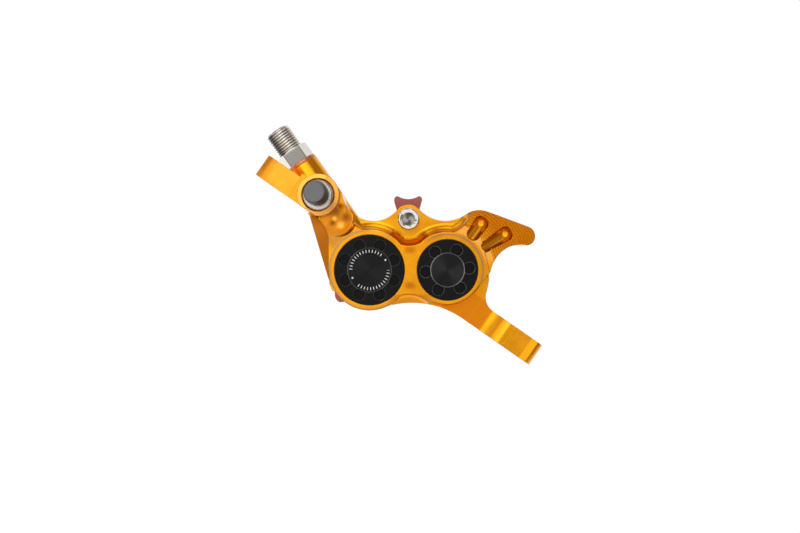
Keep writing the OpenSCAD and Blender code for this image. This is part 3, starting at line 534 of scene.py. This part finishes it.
        # The blind ends of the bores at the back are turned
        turned_large = (self.far_large * 13.0).sine() * self.far_large.below(BOSS_LARGE_R - 0.1, 0.1)
        turned_small = (self.far_small * 13.0).sine() * self.far_small.below(BOSS_SMALL_R - 0.15, 0.1)
        on_back = (turned_large + turned_small) * self.out.below(-0.7, 0.15) * 0.04
        return fine + on_patches + on_ears + on_back

    def finished(self):
        """Lays all the regions over each other and closes the material."""
        self.patches()
        self.horn()
        self.bosses_and_web()
        self.hollow()
        self.bleed_boss()
        self.terrace_and_web_end()
        self.coves_and_edges()
        self.ears()
        self.flank()
        normal = self.mix_normal(self.pocket_floors * 0.6, self.edge, self.soft_edge(1.0))
        flat = self.flats.most(self.valley).most(self.left_tip * 0.55)
        normal = self.mix_normal(flat, normal, OUT)
        rough = 0.17 + 0.06 * self.cloud + 0.04 * self.grain
        return self.shade({
            "Base Color": self.colour,
            "Metallic": 1.0,
            "Roughness": rough + self.pale * 0.2 + self.steps * 0.08 + self.arm_root * 0.15,
            "Coat Weight": 0.15 * (1 - self.steps),
            "Coat Roughness": 0.15,
            "Normal": self.bump(self.relief(), self.RELIEF, normal),
        })


# Angles between which the larger cap has its ticks, angles of its dots, and sizes of both
TICK_ARCS = ((48.0, 182.0), (228.0, 359.5))
DOT_ANGLES = (32.0, 205.0)
TICK_LENGTH = 0.74
DOT_R = 0.24


def dial(f, centre, looks):
    """Mask of the short ticks in two arcs on the larger cap, with a dot in each gap between them."""
    far, turn = f.around(centre)
    x, y, _ = f.parts(f.point)
    tick = (turn / looks.tick_pitch).fraction().between(0.37, 0.59, 0.06)
    first, second = (turn.between(low, high, 0.5) for low, high in TICK_ARCS)
    ring = far.between(looks.tick_ring - TICK_LENGTH / 2, looks.tick_ring + TICK_LENGTH / 2, 0.05)
    marks = tick * first.most(second) * ring
    for angle in DOT_ANGLES:
        dot_x = x - (centre.x + looks.tick_ring * math.cos(math.radians(angle)))
        dot_y = y - (centre.y + looks.tick_ring * math.sin(math.radians(angle)))
        marks = marks.most((dot_x * dot_x + dot_y * dot_y).root().below(DOT_R, 0.05))
    return marks


def turned_black(name, centre, hub_r, looks, marked):
    """Black anodised and turned cap: fine rings, a painted sheen along two wedges, painted highlights on the
    edges and the hub's rim and, on one cap, white marks.
    """
    f = Finish(name)
    far, turn = f.around(centre)
    _, _, z = f.parts(f.point)
    hub = z.above(FACE_H - 0.12, 0.02)
    slow = f.noise(0.8, 2.0)
    grain = f.noise(14.0, 2.0)
    edge = f.soft_edge(0.2)
    # Painted sheen: the turned hub is painted lighter along two opposite wedges, less so on the marked cap
    sheen, rim_highlight_gain = (1.5, 0.4) if marked else (2.6, 1.0)
    wedge = (turn * (math.pi / 90) + 2.2).sine().above(0.1, 0.9)
    colour = f.mix(wedge * hub, tone(looks.cap_colour, 0.6), tone(looks.cap_colour, sheen))
    # Painted highlight on the edges
    colour = f.mix(f.edge_wear_and_light(edge, 5.0) * (0.4 + 0.6 * slow), colour, tone((0.3, 0.3, 0.3)))
    # Painted highlight round the hub's rim, stronger in the wedges of the sheen
    rim = hub * far.between(hub_r - 0.2, hub_r + 0.1, 0.06)
    colour = f.mix(rim * (0.2 + 0.8 * wedge), colour, tone((0.22, 0.22, 0.22), rim_highlight_gain))
    if marked:
        colour = f.mix(dial(f, centre, looks) * hub, colour, tone(looks.mark_colour))
    rings = (far * 46.0).sine()
    return f.shade({
        "Base Color": colour,
        "Roughness": 0.16 + 0.1 * grain + 0.08 * slow,
        "Specular IOR Level": 0.12,
        "Normal": f.bump(rings * (0.3 + 0.9 * hub) + grain * 0.2, 0.004, edge),
    })


def turned_steel(name, centre, colour, rough, dish_r=0.0):
    """Bright turned steel with fine rings about an axis through the face, and painted shade that darkens a
    dished middle.
    """
    f = Finish(name)
    far, turn = f.around(centre)
    _, _, z = f.parts(f.point)
    slow = f.noise(0.9, 3.0)
    grain = f.noise(11.0, 2.0)
    rings = (far * 38.0 + z * 9.0).sine()
    edge = f.soft_edge(0.1)
    shade = f.mix(slow, tone(colour, 0.86), tone(colour, 1.08))
    if dish_r:
        # Painted shade darkens the dished middle, less along the wedges of a painted sheen from its tool
        # marks
        swirl = (turn * (math.pi / 90) + far * 1.4).sine().above(0.0, 1.0)
        inside = far.below(dish_r, 0.15)
        shade = f.mix(inside * (1.0 - 0.45 * swirl), shade, tone((0.11, 0.105, 0.09)))
    return f.shade({
        "Base Color": shade,
        "Metallic": 1.0,
        "Roughness": rough + 0.14 * slow + 0.06 * grain,
        "Normal": f.bump(rings * 0.6 + grain * 0.4, 0.0015, edge),
    })


def spring_steel():
    """Rolled steel of the clip and the spring, with fine lines across."""
    f = Finish("spring_steel")
    colour = (0.55, 0.54, 0.52)
    slow = f.noise(0.7, 3.0)
    drawn = f.add("ShaderNodeMapping", None, {"Vector": f.point, "Scale": (1.0, 8.0, 1.0)})
    lines = f.noise(6.0, 3.0, 0.6, drawn)
    return f.shade({
        "Base Color": f.mix(slow, tone(colour, 0.82), tone(colour, 1.06)),
        "Metallic": 1.0,
        "Roughness": 0.28 + 0.1 * lines,
        "Normal": f.bump(lines, 0.0008, f.soft_edge(0.12)),
    })


def connector_steel(place, radius, depth, length):
    """Stainless steel of the connector: bright hexagon and crests, with painted shade in the thread roots.
    """
    f = Finish("connector_steel")
    colour, root_and_front_shade, shadow = (0.82, 0.8, 0.75), (0.09, 0.08, 0.065), (0.09, 0.085, 0.065)
    x, y, z = f.parts(f.seen_from(place))
    far = (x * x + y * y).root()
    roots = far.below(radius - depth * 0.75, depth * 0.3) * z.between(0.05, length - 0.3, 0.1)
    slow = f.noise(0.7, 3.0)
    grain = f.noise(6.0, 3.0, 0.6)
    steel = f.mix(slow, tone(colour, 0.85), tone(colour, 1.08))
    # The left side of the thread lies in the shade, and so does the hexagon's front
    start = TO_FACE @ place.translation
    axis = (TO_FACE.to_3x3() @ place.to_3x3() @ Vector((0, 0, 1))).normalized()
    wide, tall, high = f.parts(f.point)
    side = (wide - start.x) * axis.y - (tall - start.y) * axis.x
    steel = f.mix(side.below(-1.7, 1.2) * z.above(0.0, 0.1) * 0.92, steel, tone(shadow))
    front = high.above(start.z + 3.4, 0.25) * z.below(-0.2, 0.5)
    return f.shade({
        # Painted shade in the thread roots and on the hexagon's front
        "Base Color": f.mix((roots * 0.62).most(front * 0.83), steel, tone(root_and_front_shade)),
        "Metallic": 1.0,
        "Roughness": 0.14 + 0.1 * grain + 0.2 * roots,
        "Normal": f.bump(grain, 0.0008, f.soft_edge(0.04)),
    })


def washer_copper():
    """Soft copper, a little tarnished."""
    f = Finish("washer_copper")
    slow = f.noise(1.3, 4.0)
    grain = f.noise(9.0, 2.0)
    return f.shade({
        "Base Color": f.mix(slow.above(0.52, 0.2), tone((0.72, 0.3, 0.14)), tone((0.5, 0.17, 0.08))),
        "Metallic": 1.0,
        "Roughness": 0.3 + 0.2 * grain,
        "Normal": f.bump(grain, 0.006, f.soft_edge(0.12)),
    })


def plate_paint(looks):
    """Dusty red-brown baked coating of the backing plates."""
    f = Finish("plate_paint")
    slow = f.noise(0.6, 4.0)
    specks = f.noise(7.0, 4.0, 0.7)
    edge = f.soft_edge(0.15)
    colour = f.mix(slow, tone(looks.plate_colour, 0.82), tone(looks.plate_colour, 1.12))
    colour = f.mix(f.edge_wear_and_light(edge, 3.0) * 0.3, colour, tone((0.5, 0.28, 0.27)))
    colour = f.mix(specks.above(0.68, 0.04) * 0.4, colour, tone((0.6, 0.42, 0.4)))
    return f.shade({
        "Base Color": colour,
        "Metallic": 0.15,
        "Roughness": 0.48 + 0.2 * specks,
        "Normal": f.bump(specks, 0.02, edge),
    })


def friction_lining():
    """Pressed friction compound with metal flecks and dark binder."""
    f = Finish("friction_lining")
    grain = f.noise(2.4, 5.0, 0.7)
    cells = f.add("ShaderNodeTexVoronoi", None, {"Vector": f.point, "Scale": 2.6, "Randomness": 1.0})
    flecks = cells.below(0.16, 0.05)
    colour = f.mix(grain, tone((0.05, 0.044, 0.04)), tone((0.16, 0.14, 0.12)))
    colour = f.mix(flecks * 0.8, colour, tone((0.62, 0.42, 0.24)))
    return f.shade({
        "Base Color": colour,
        "Metallic": flecks * 0.9,
        "Roughness": 0.85 - flecks * 0.45,
        "Normal": f.bump(grain + flecks * 0.3, 0.05),
    })


def rubber(name, colour, top_reflection_colour=None):
    """Moulded rubber with a fine matt skin and, on the dust cap, a greyer top that is a painted reflection.
    """
    f = Finish(name)
    _, _, z = f.parts(f.point)
    skin = f.noise(5.0, 4.0, 0.65)
    dust = f.noise(0.9, 3.0)
    shade = f.mix(skin, tone(colour, 0.7), tone(colour, 1.3))
    if top_reflection_colour:
        # Painted reflection: the cap's top is painted greyer
        mask = z.above(CAP_TOP_H - 0.3, 0.08) * (0.85 + 0.15 * dust)
        shade = f.mix(mask, shade, tone(top_reflection_colour))
    return f.shade({
        "Base Color": shade,
        "Roughness": 0.5 + 0.2 * skin + 0.1 * dust,
        "Specular IOR Level": 0.45,
        "Normal": f.bump(skin, 0.015, f.soft_edge(0.15)),
    })


# Meshes

# Distance at which points are merged
WELD = 0.025 * MM
# An edge is sharp above the first angle and broken above the second, faces below the third are one
CREASE = math.radians(8)
BREAK = math.radians(35)
FLAT = math.radians(0.4)


def number_islands(bm):
    """Numbers the loose pieces of a solid's mesh, one to each face of the solid."""
    layer = bm.faces.layers.int.new("solid_face")
    count = 0
    for seed in bm.faces:
        if seed[layer]:
            continue
        count += 1
        seed[layer] = count
        waiting = [seed]
        while waiting:
            for vert in waiting.pop().verts:
                for face in vert.link_faces:
                    if not face[layer]:
                        face[layer] = count
                        waiting.append(face)
    return layer


def merged_copy(node):
    """Copy of a solid's mesh, merged and dissolved to its real faces, sharp where they meet at an angle."""
    bm = bmesh.new()
    bm.from_mesh(frame["nodes"][node].data)
    layer = number_islands(bm)
    bmesh.ops.remove_doubles(bm, verts=bm.verts, dist=WELD)
    bmesh.ops.dissolve_degenerate(bm, edges=bm.edges, dist=WELD / 10)
    for edge in bm.edges:
        faces = {face[layer] for face in edge.link_faces}
        edge.smooth = len(faces) < 2 or edge.calc_face_angle(0.0) < CREASE
    for face in bm.faces:
        face.smooth = True
    bmesh.ops.dissolve_limit(
        bm, angle_limit=FLAT, use_dissolve_boundaries=False,
        verts=bm.verts, edges=bm.edges, delimit={"SHARP"})
    return bm


def add_piece(node, bm, material):
    """Makes the mesh a piece that stands for a solid, on the solid's body and material slot."""
    name = node + ".finish"
    mesh = bpy.data.meshes.new(name)
    bm.to_mesh(mesh)
    bm.free()
    mesh.materials.append(material)
    piece = bpy.data.objects.new(name, mesh)
    bpy.context.scene.collection.objects.link(piece)
    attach(piece, frame["nodes"][node]["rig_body"])
    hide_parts(node)
    return piece


def break_edges(piece, width, segments):
    """Breaks the sharp edges of a piece by a width in millimetres."""
    bevel = piece.modifiers.new("broken_edges", "BEVEL")
    bevel.width = width * MM
    bevel.segments = segments
    bevel.limit_method = "ANGLE"
    bevel.angle_limit = BREAK
    bevel.profile = 0.5
    bevel.use_clamp_overlap = True


def even_shading(piece):
    """Lets large flat faces lead the shading where they run into coves."""
    weighted = piece.modifiers.new("even_shading", "WEIGHTED_NORMAL")
    weighted.mode = "FACE_AREA"
    weighted.weight = 80
    weighted.keep_sharp = True


def dress(node, material, width, segments=2):
    """Adds the finished copy of a solid, with broken edges."""
    piece = add_piece(node, merged_copy(node), material)
    break_edges(piece, width, segments)
    even_shading(piece)


def hose_thread():
    """Place, radius and length of the connector's thread, from the record."""
    mount = next(m for m in frame["record"]["mounts"] if m["name"] == "hose_thread")
    axis = Vector(mount["axis"]).normalized()
    length = mount["dims"]["length_mm"]
    start = Vector(mount["pos_m"]) - axis * (length / 2 * MM)
    turn = Vector((0, 0, 1)).rotation_difference(axis).to_matrix().to_4x4()
    return Matrix.Translation(start) @ turn @ Matrix.Scale(MM, 4), mount["dims"]["r_mm"], length


# How far the thread reaches into the hexagon, and radius and height of the rings of its coned mouth and bore
THREAD_LAP = 0.4
MOUTH = ((2.5, 0.0), (1.2, -3.0), (1.2, -5.0))


def cut_thread(bm, radius, length, pitch, depth):
    """Adds a screw thread along z from a little below 0, with a chamfered end and a coned mouth."""
    steps = 40
    root = radius - depth
    # Points of one turn's section: radius in millimetres, and height as a share of the pitch
    profile = [(root, 0.0), (radius, 0.4), (radius, 0.52), (root, 0.92), (root, 1.0)]
    verts = [bm.verts.new((r, 0, z * pitch)) for r, z in profile]
    edges = [bm.edges.new(pair) for pair in zip(verts, verts[1:])]
    turns = math.ceil((length + THREAD_LAP) / pitch) + 2
    bmesh.ops.spin(
        bm, geom=verts + edges, cent=(0, 0, 0), axis=(0, 0, 1), dvec=(0, 0, pitch / steps),
        angle=turns * math.tau, steps=turns * steps, use_merge=False)
    bmesh.ops.remove_doubles(bm, verts=bm.verts, dist=pitch / 200)
    bmesh.ops.translate(bm, verts=bm.verts, vec=(0, 0, -pitch - THREAD_LAP))
    for height, inner, outer in ((-THREAD_LAP, True, False), (length, False, True)):
        bmesh.ops.bisect_plane(
            bm, geom=bm.verts[:] + bm.edges[:] + bm.faces[:], dist=1e-4, plane_co=(0, 0, height),
            plane_no=(0, 0, 1), clear_inner=inner, clear_outer=outer)
    # Lead-in: no point stands further out than a cone that ends below the root
    end_r = root - 0.04
    for vert in bm.verts:
        far = vert.co.xy.length
        most = end_r + (length - vert.co.z) * 0.9
        if far > most:
            vert.co.xy *= most / far
    for height, rings in ((length, MOUTH), (-THREAD_LAP, ())):
        rim = [e for e in bm.edges if e.is_boundary]
        rim = [e for e in rim if all(abs(v.co.z - height) < 1e-3 for v in e.verts)]
        for ring_r, drop in rings:
            made = bmesh.ops.extrude_edge_only(bm, edges=rim)["geom"]
            rim = [e for e in made if isinstance(e, bmesh.types.BMEdge)]
            for vert in {v for e in rim for v in e.verts}:
                vert.co.xy *= ring_r / vert.co.xy.length
                vert.co.z = height + drop
            rim = [e for e in rim if e.is_boundary]
        bmesh.ops.holes_fill(bm, edges=rim)
    bmesh.ops.recalc_face_normals(bm, faces=bm.faces)
    for face in bm.faces:
        face.smooth = True
    for edge in bm.edges:
        edge.smooth = edge.calc_face_angle(0.0) < math.radians(30)


# Settings

class CaliperLooks(bpy.types.PropertyGroup):
    """Colours and small sizes of the finishes, in millimetres."""

    body_colour: bpy.props.FloatVectorProperty(
        name="Body", description="Colour of the anodised body", subtype="COLOR", size=3,
        min=0, max=1, default=(0.86, 0.35, 0.006))
    cap_colour: bpy.props.FloatVectorProperty(
        name="Bore caps", description="Colour of the bore caps", subtype="COLOR", size=3,
        min=0, max=1, default=(0.006, 0.006, 0.0062))
    mark_colour: bpy.props.FloatVectorProperty(
        name="Marks", description="Colour of the ticks on the larger cap", subtype="COLOR", size=3,
        min=0, max=1, default=(0.72, 0.72, 0.72))
    plate_colour: bpy.props.FloatVectorProperty(
        name="Backing plates", description="Colour of the backing plates' coating", subtype="COLOR", size=3,
        min=0, max=1, default=(0.41, 0.105, 0.1))
    edge: bpy.props.FloatProperty(
        name="Body edges", description="Radius of the body's broken edges, in millimetres",
        min=0.02, max=0.5, default=0.34)
    step_from: bpy.props.FloatProperty(
        name="Steps from", description="Radius where the horn's steps begin, in millimetres",
        min=8, max=16, default=12.2)
    tick_ring: bpy.props.FloatProperty(
        name="Tick ring", description="Radius of the ring of ticks, in millimetres",
        min=4, max=5.4, default=4.9)
    tick_pitch: bpy.props.FloatProperty(
        name="Tick pitch", description="Angle from tick to tick, in degrees", min=3, max=30, default=9.6)
    thread_pitch: bpy.props.FloatProperty(
        name="Thread pitch", description="Pitch of the connector's thread, in millimetres",
        min=0.5, max=1, default=0.75)
    thread_depth: bpy.props.FloatProperty(
        name="Thread depth", description="Depth of the connector's thread, in millimetres",
        min=0.2, max=0.6, default=0.42)


class CaliperStage(bpy.types.PropertyGroup):
    """Camera, light and floor."""

    camera_place: bpy.props.FloatVectorProperty(
        name="Camera", description="Place of the camera", subtype="TRANSLATION", unit="LENGTH", size=3,
        default=(0.00124, -0.311, 0.00184))
    lens: bpy.props.FloatProperty(
        name="Lens", description="Focal length on a 36 mm sensor", subtype="DISTANCE_CAMERA", default=52.07)
    floor_drop: bpy.props.FloatProperty(
        name="Floor", description="Depth of the floor below the part", subtype="DISTANCE", unit="LENGTH",
        default=0.13)
    sky: bpy.props.FloatProperty(
        name="Sky", description="Brightness of the room round the part", min=0, max=4, default=1.0)
    ring: bpy.props.FloatProperty(
        name="Ring", description="Brightness of the screens round the camera", min=0, max=4, default=1.5)
    key: bpy.props.FloatProperty(
        name="Key light", description="Power of the light above", subtype="POWER", unit="POWER",
        default=0.35)
    fill: bpy.props.FloatProperty(
        name="Side light", description="Power of the light on the left", subtype="POWER", unit="POWER",
        default=0.2)


# Operators

class CaliperOperator:
    """What the operators share."""

    bl_options = {"REGISTER", "UNDO"}

    @property
    def looks(self):
        return bpy.context.scene.caliper_looks


class CALIPER_OT_body(CaliperOperator, bpy.types.Operator):
    """Finish the one-piece body"""

    bl_idname = "caliper.body"
    bl_label = "Body"

    def execute(self, context):
        material = BodyFinish(self.looks).finished()
        even_shading(add_piece("caliper_body", merged_copy("caliper_body"), material))
        return {"FINISHED"}


class CALIPER_OT_caps(CaliperOperator, bpy.types.Operator):
    """Finish the two bore caps and the rings under them"""

    bl_idname = "caliper.caps"
    bl_label = "Bore caps"

    def execute(self, context):
        marked = turned_black("cap_black_marked", LARGE_BORE, HUB_LARGE_R, self.looks, True)
        plain = turned_black("cap_black_plain", SMALL_BORE, HUB_SMALL_R, self.looks, False)
        dress("outer_cap_large", marked, width=0.1)
        dress("outer_cap_small", plain, width=0.1)
        ring = rubber("ring_rubber", colour=(0.02, 0.02, 0.02))
        for node in ("cap_ring_large", "cap_ring_small"):
            dress(node, ring, width=0.2, segments=3)
        return {"FINISHED"}


class CALIPER_OT_pistons(CaliperOperator, bpy.types.Operator):
    """Finish the pistons and their seals"""

    bl_idname = "caliper.pistons"
    bl_label = "Pistons and seals"

    def execute(self, context):
        seal = rubber("seal_rubber", colour=(0.018, 0.018, 0.018))
        for size, bore in (("large", LARGE_BORE), ("small", SMALL_BORE)):
            steel = turned_steel("piston_steel_" + size, bore, colour=(0.6, 0.6, 0.58), rough=0.22)
            for side in ("outer", "inner"):
                dress(f"{side}_piston_{size}", steel, width=0.25, segments=3)
                dress(f"{side}_seal_{size}", seal, width=0.1)
        return {"FINISHED"}


class CALIPER_OT_pads(CaliperOperator, bpy.types.Operator):
    """Finish the brake pads"""

    bl_idname = "caliper.pads"
    bl_label = "Pads"

    def execute(self, context):
        paint, lining = plate_paint(self.looks), friction_lining()
        for side in ("outer", "inner"):
            dress(side + "_pad_plate", paint, width=0.15)
            dress(side + "_pad_lining", lining, width=0.2)
        return {"FINISHED"}


class CALIPER_OT_pin(CaliperOperator, bpy.types.Operator):
    """Finish the pad pin, its clip and the pad spring"""

    bl_idname = "caliper.pin"
    bl_label = "Pad pin and spring"

    def execute(self, context):
        steel = turned_steel("pin_steel", PIN, colour=(0.78, 0.77, 0.74), rough=0.1, dish_r=1.75)
        dress("pad_pin", steel, width=0.12)
        spring = spring_steel()
        dress("pad_pin_clip", spring, width=0.05)
        dress("pad_spring", spring, width=0.06)
        return {"FINISHED"}


class CALIPER_OT_bleed(CaliperOperator, bpy.types.Operator):
    """Finish the bleed nipple and its rubber cap"""

    bl_idname = "caliper.bleed"
    bl_label = "Bleed port"

    def execute(self, context):
        steel = turned_steel("nipple_steel", BLEED, colour=(0.66, 0.64, 0.6), rough=0.3)
        dress("bleed_nipple", steel, width=0.1)
        cap = rubber("cap_rubber", colour=(0.012, 0.012, 0.013), top_reflection_colour=(0.15, 0.16, 0.16))
        dress("bleed_cap", cap, width=0.35, segments=3)
        return {"FINISHED"}


class CALIPER_OT_hose_connector(CaliperOperator, bpy.types.Operator):
    """Finish the hose connector, with its cut thread, and the copper washer"""

    bl_idname = "caliper.hose_connector"
    bl_label = "Hose connector"

    def execute(self, context):
        place, radius, length = hose_thread()
        # The thread runs on over the chamfered end beyond the mount's cylinder
        end = 0.3
        thread = bmesh.new()
        cut_thread(thread, radius, length + end, self.looks.thread_pitch, self.looks.thread_depth)
        bmesh.ops.transform(thread, matrix=place, verts=thread.verts)
        hexagon = merged_copy("hose_connector")
        axis = place.to_3x3() @ Vector((0, 0, 1))
        bmesh.ops.bisect_plane(
            hexagon, geom=hexagon.verts[:] + hexagon.edges[:] + hexagon.faces[:], dist=1e-7,
            plane_co=place @ Vector((0, 0, 0.02)), plane_no=axis, clear_outer=True)
        bmesh.ops.holes_fill(hexagon, edges=[e for e in hexagon.edges if e.is_boundary])
        joined = bpy.data.meshes.new("thread")
        thread.to_mesh(joined)
        thread.free()
        hexagon.from_mesh(joined)
        bpy.data.meshes.remove(joined)
        steel = connector_steel(place, radius, self.looks.thread_depth, length)
        even_shading(add_piece("hose_connector", hexagon, steel))
        dress("connector_washer", washer_copper(), width=0.15, segments=3)
        return {"FINISHED"}


class CALIPER_OT_stage(CaliperOperator, bpy.types.Operator):
    """Set the camera, the lights and the floor"""

    bl_idname = "caliper.stage"
    bl_label = "Stage"

    # Direction in the face frame, cosine of the half angle and brightness of each soft box
    BOXES = (
        ((-0.5, 0.82, 0.28), 0.95, 0.8),
        ((0.88, 0.4, 0.25), 0.96, 0.5),
        ((-0.3, 0.4, -0.87), 0.9, 0.5),
    )
    # Cosines of the half angles of the gap at the camera and of the ring of screens round it
    GAP = 0.957
    RING = 0.74
    # Colours of the room where it is dim and where it is bright
    WARM = (1.3, 0.96, 0.8, 1)
    WHITE = (1, 1, 1, 1)

    def execute(self, context):
        scene = context.scene
        stage = scene.caliper_stage
        scene.view_settings.view_transform = "Standard"
        self.set_camera(scene, stage)
        self.set_sky(scene, stage)
        self.set_light(scene, "key", place=(0.12, 0.62, 0.2), size=0.4, power=stage.key)
        self.set_light(scene, "side", place=(-0.6, 0.15, 0.15), size=0.3, power=stage.fill)
        self.set_floor(scene, stage)
        return {"FINISHED"}

    def set_camera(self, scene, stage):
        """Camera that looks straight at the outer face."""
        data = bpy.data.cameras.new("camera")
        data.lens = stage.lens
        data.clip_start, data.clip_end = 0.01, 100
        camera = bpy.data.objects.new("camera", data)
        turn = FACE.to_quaternion().to_matrix().to_4x4()
        camera.matrix_world = Matrix.Translation(stage.camera_place) @ turn
        scene.collection.objects.link(camera)
        scene.camera = camera

    def set_sky(self, scene, stage):
        """Room that lights the part and shows white behind it."""
        world = bpy.data.worlds.new("studio")
        world.use_nodes = True
        scene.world = world
        g = Graph(world.node_tree)
        seen = g.add("ShaderNodeLightPath", None, None, out="Is Camera Ray")
        way = g.add("ShaderNodeTexCoord", None, None, out="Generated")
        turn = FACE.to_quaternion().to_euler()
        way = g.add("ShaderNodeMapping", {"vector_type": "TEXTURE"}, {"Vector": way, "Rotation": turn})
        right, up, out = g.parts(way)
        # A bright ring of screens, a gap at the camera that is bright at its upper left only, dark sides
        # and a pale wall behind the part
        gap = out.above(self.GAP, 0.02)
        in_gap = 0.32 + 6.5 * (up - right).most(0.0)
        ring = out.above(self.RING, 0.14) * (1 - gap) * (1.0 + 0.3 * up - 0.2 * right)
        wall = out.below(-0.3, 0.3)
        glow = 0.2 + 0.06 * up + ring * stage.ring + in_gap * gap + 0.75 * wall
        for (x, y, z), edge, gain in self.BOXES:
            toward = right * x + up * y + out * z
            glow = glow + gain * toward.above(edge, 0.04)
        tint = g.mix(glow.above(0.5, 0.25), self.WARM, self.WHITE)
        room = g.add("ShaderNodeBackground", None, {"Color": tint, "Strength": glow * stage.sky})
        white = g.add("ShaderNodeBackground", None, {"Color": self.WHITE, "Strength": 1.0})
        both = g.add("ShaderNodeMixShader", None, {0: seen, 1: room, 2: white})
        g.add("ShaderNodeOutputWorld", None, {"Surface": both})

    def set_light(self, scene, name, place, size, power):
        """Round light that looks at the part, from a place in metres along the face frame's axes."""
        data = bpy.data.lights.new(name, "AREA")
        data.shape = "DISK"
        data.size = size
        data.energy = power
        light = bpy.data.objects.new(name, data)
        light.location = FACE @ (Vector(place) / MM)
        light.rotation_euler = (-light.location).to_track_quat("-Z", "Y").to_euler()
        scene.collection.objects.link(light)

    def set_floor(self, scene, stage):
        """Pale floor some way below the part."""
        bm = bmesh.new()
        bmesh.ops.create_grid(bm, x_segments=1, y_segments=1, size=4)
        bmesh.ops.translate(bm, verts=bm.verts, vec=(0, 0, CAD_BOX[0][2] - stage.floor_drop))
        mesh = bpy.data.meshes.new("floor")
        bm.to_mesh(mesh)
        bm.free()
        material = bpy.data.materials.new("pale_floor")
        material.use_nodes = True
        g = Graph(material.node_tree)
        surface = g.add("ShaderNodeBsdfPrincipled", None, {
            "Base Color": (0.9, 0.9, 0.9, 1), "Roughness": 0.9,
            "Emission Color": self.WHITE, "Emission Strength": 0.45})
        g.add("ShaderNodeOutputMaterial", None, {"Surface": surface})
        mesh.materials.append(material)
        floor = bpy.data.objects.new("floor", mesh)
        scene.collection.objects.link(floor)


class CALIPER_PT_panel(bpy.types.Panel):
    """Sidebar panel that lists the steps"""

    bl_label = "Caliper"
    bl_idname = "CALIPER_PT_panel"
    bl_space_type = "VIEW_3D"
    bl_region_type = "UI"
    bl_category = "Caliper"

    def draw(self, context):
        for settings in (context.scene.caliper_looks, context.scene.caliper_stage):
            for name in settings.__annotations__:
                self.layout.prop(settings, name)
        for step in STEPS:
            self.layout.operator(step.bl_idname)


STEPS = (
    CALIPER_OT_body, CALIPER_OT_caps, CALIPER_OT_pistons, CALIPER_OT_pads, CALIPER_OT_pin, CALIPER_OT_bleed,
    CALIPER_OT_hose_connector, CALIPER_OT_stage,
)
CLASSES = (CaliperLooks, CaliperStage, *STEPS, CALIPER_PT_panel)


def register():
    for cls in CLASSES:
        bpy.utils.register_class(cls)
    bpy.types.Scene.caliper_looks = bpy.props.PointerProperty(type=CaliperLooks)
    bpy.types.Scene.caliper_stage = bpy.props.PointerProperty(type=CaliperStage)


def unregister():
    del bpy.types.Scene.caliper_stage
    del bpy.types.Scene.caliper_looks
    for cls in reversed(CLASSES):
        bpy.utils.unregister_class(cls)


def main():
    register()
    for step in STEPS:
        group, name = step.bl_idname.split(".")
        getattr(getattr(bpy.ops, group), name)()


if __name__ == "__main__":
    main()
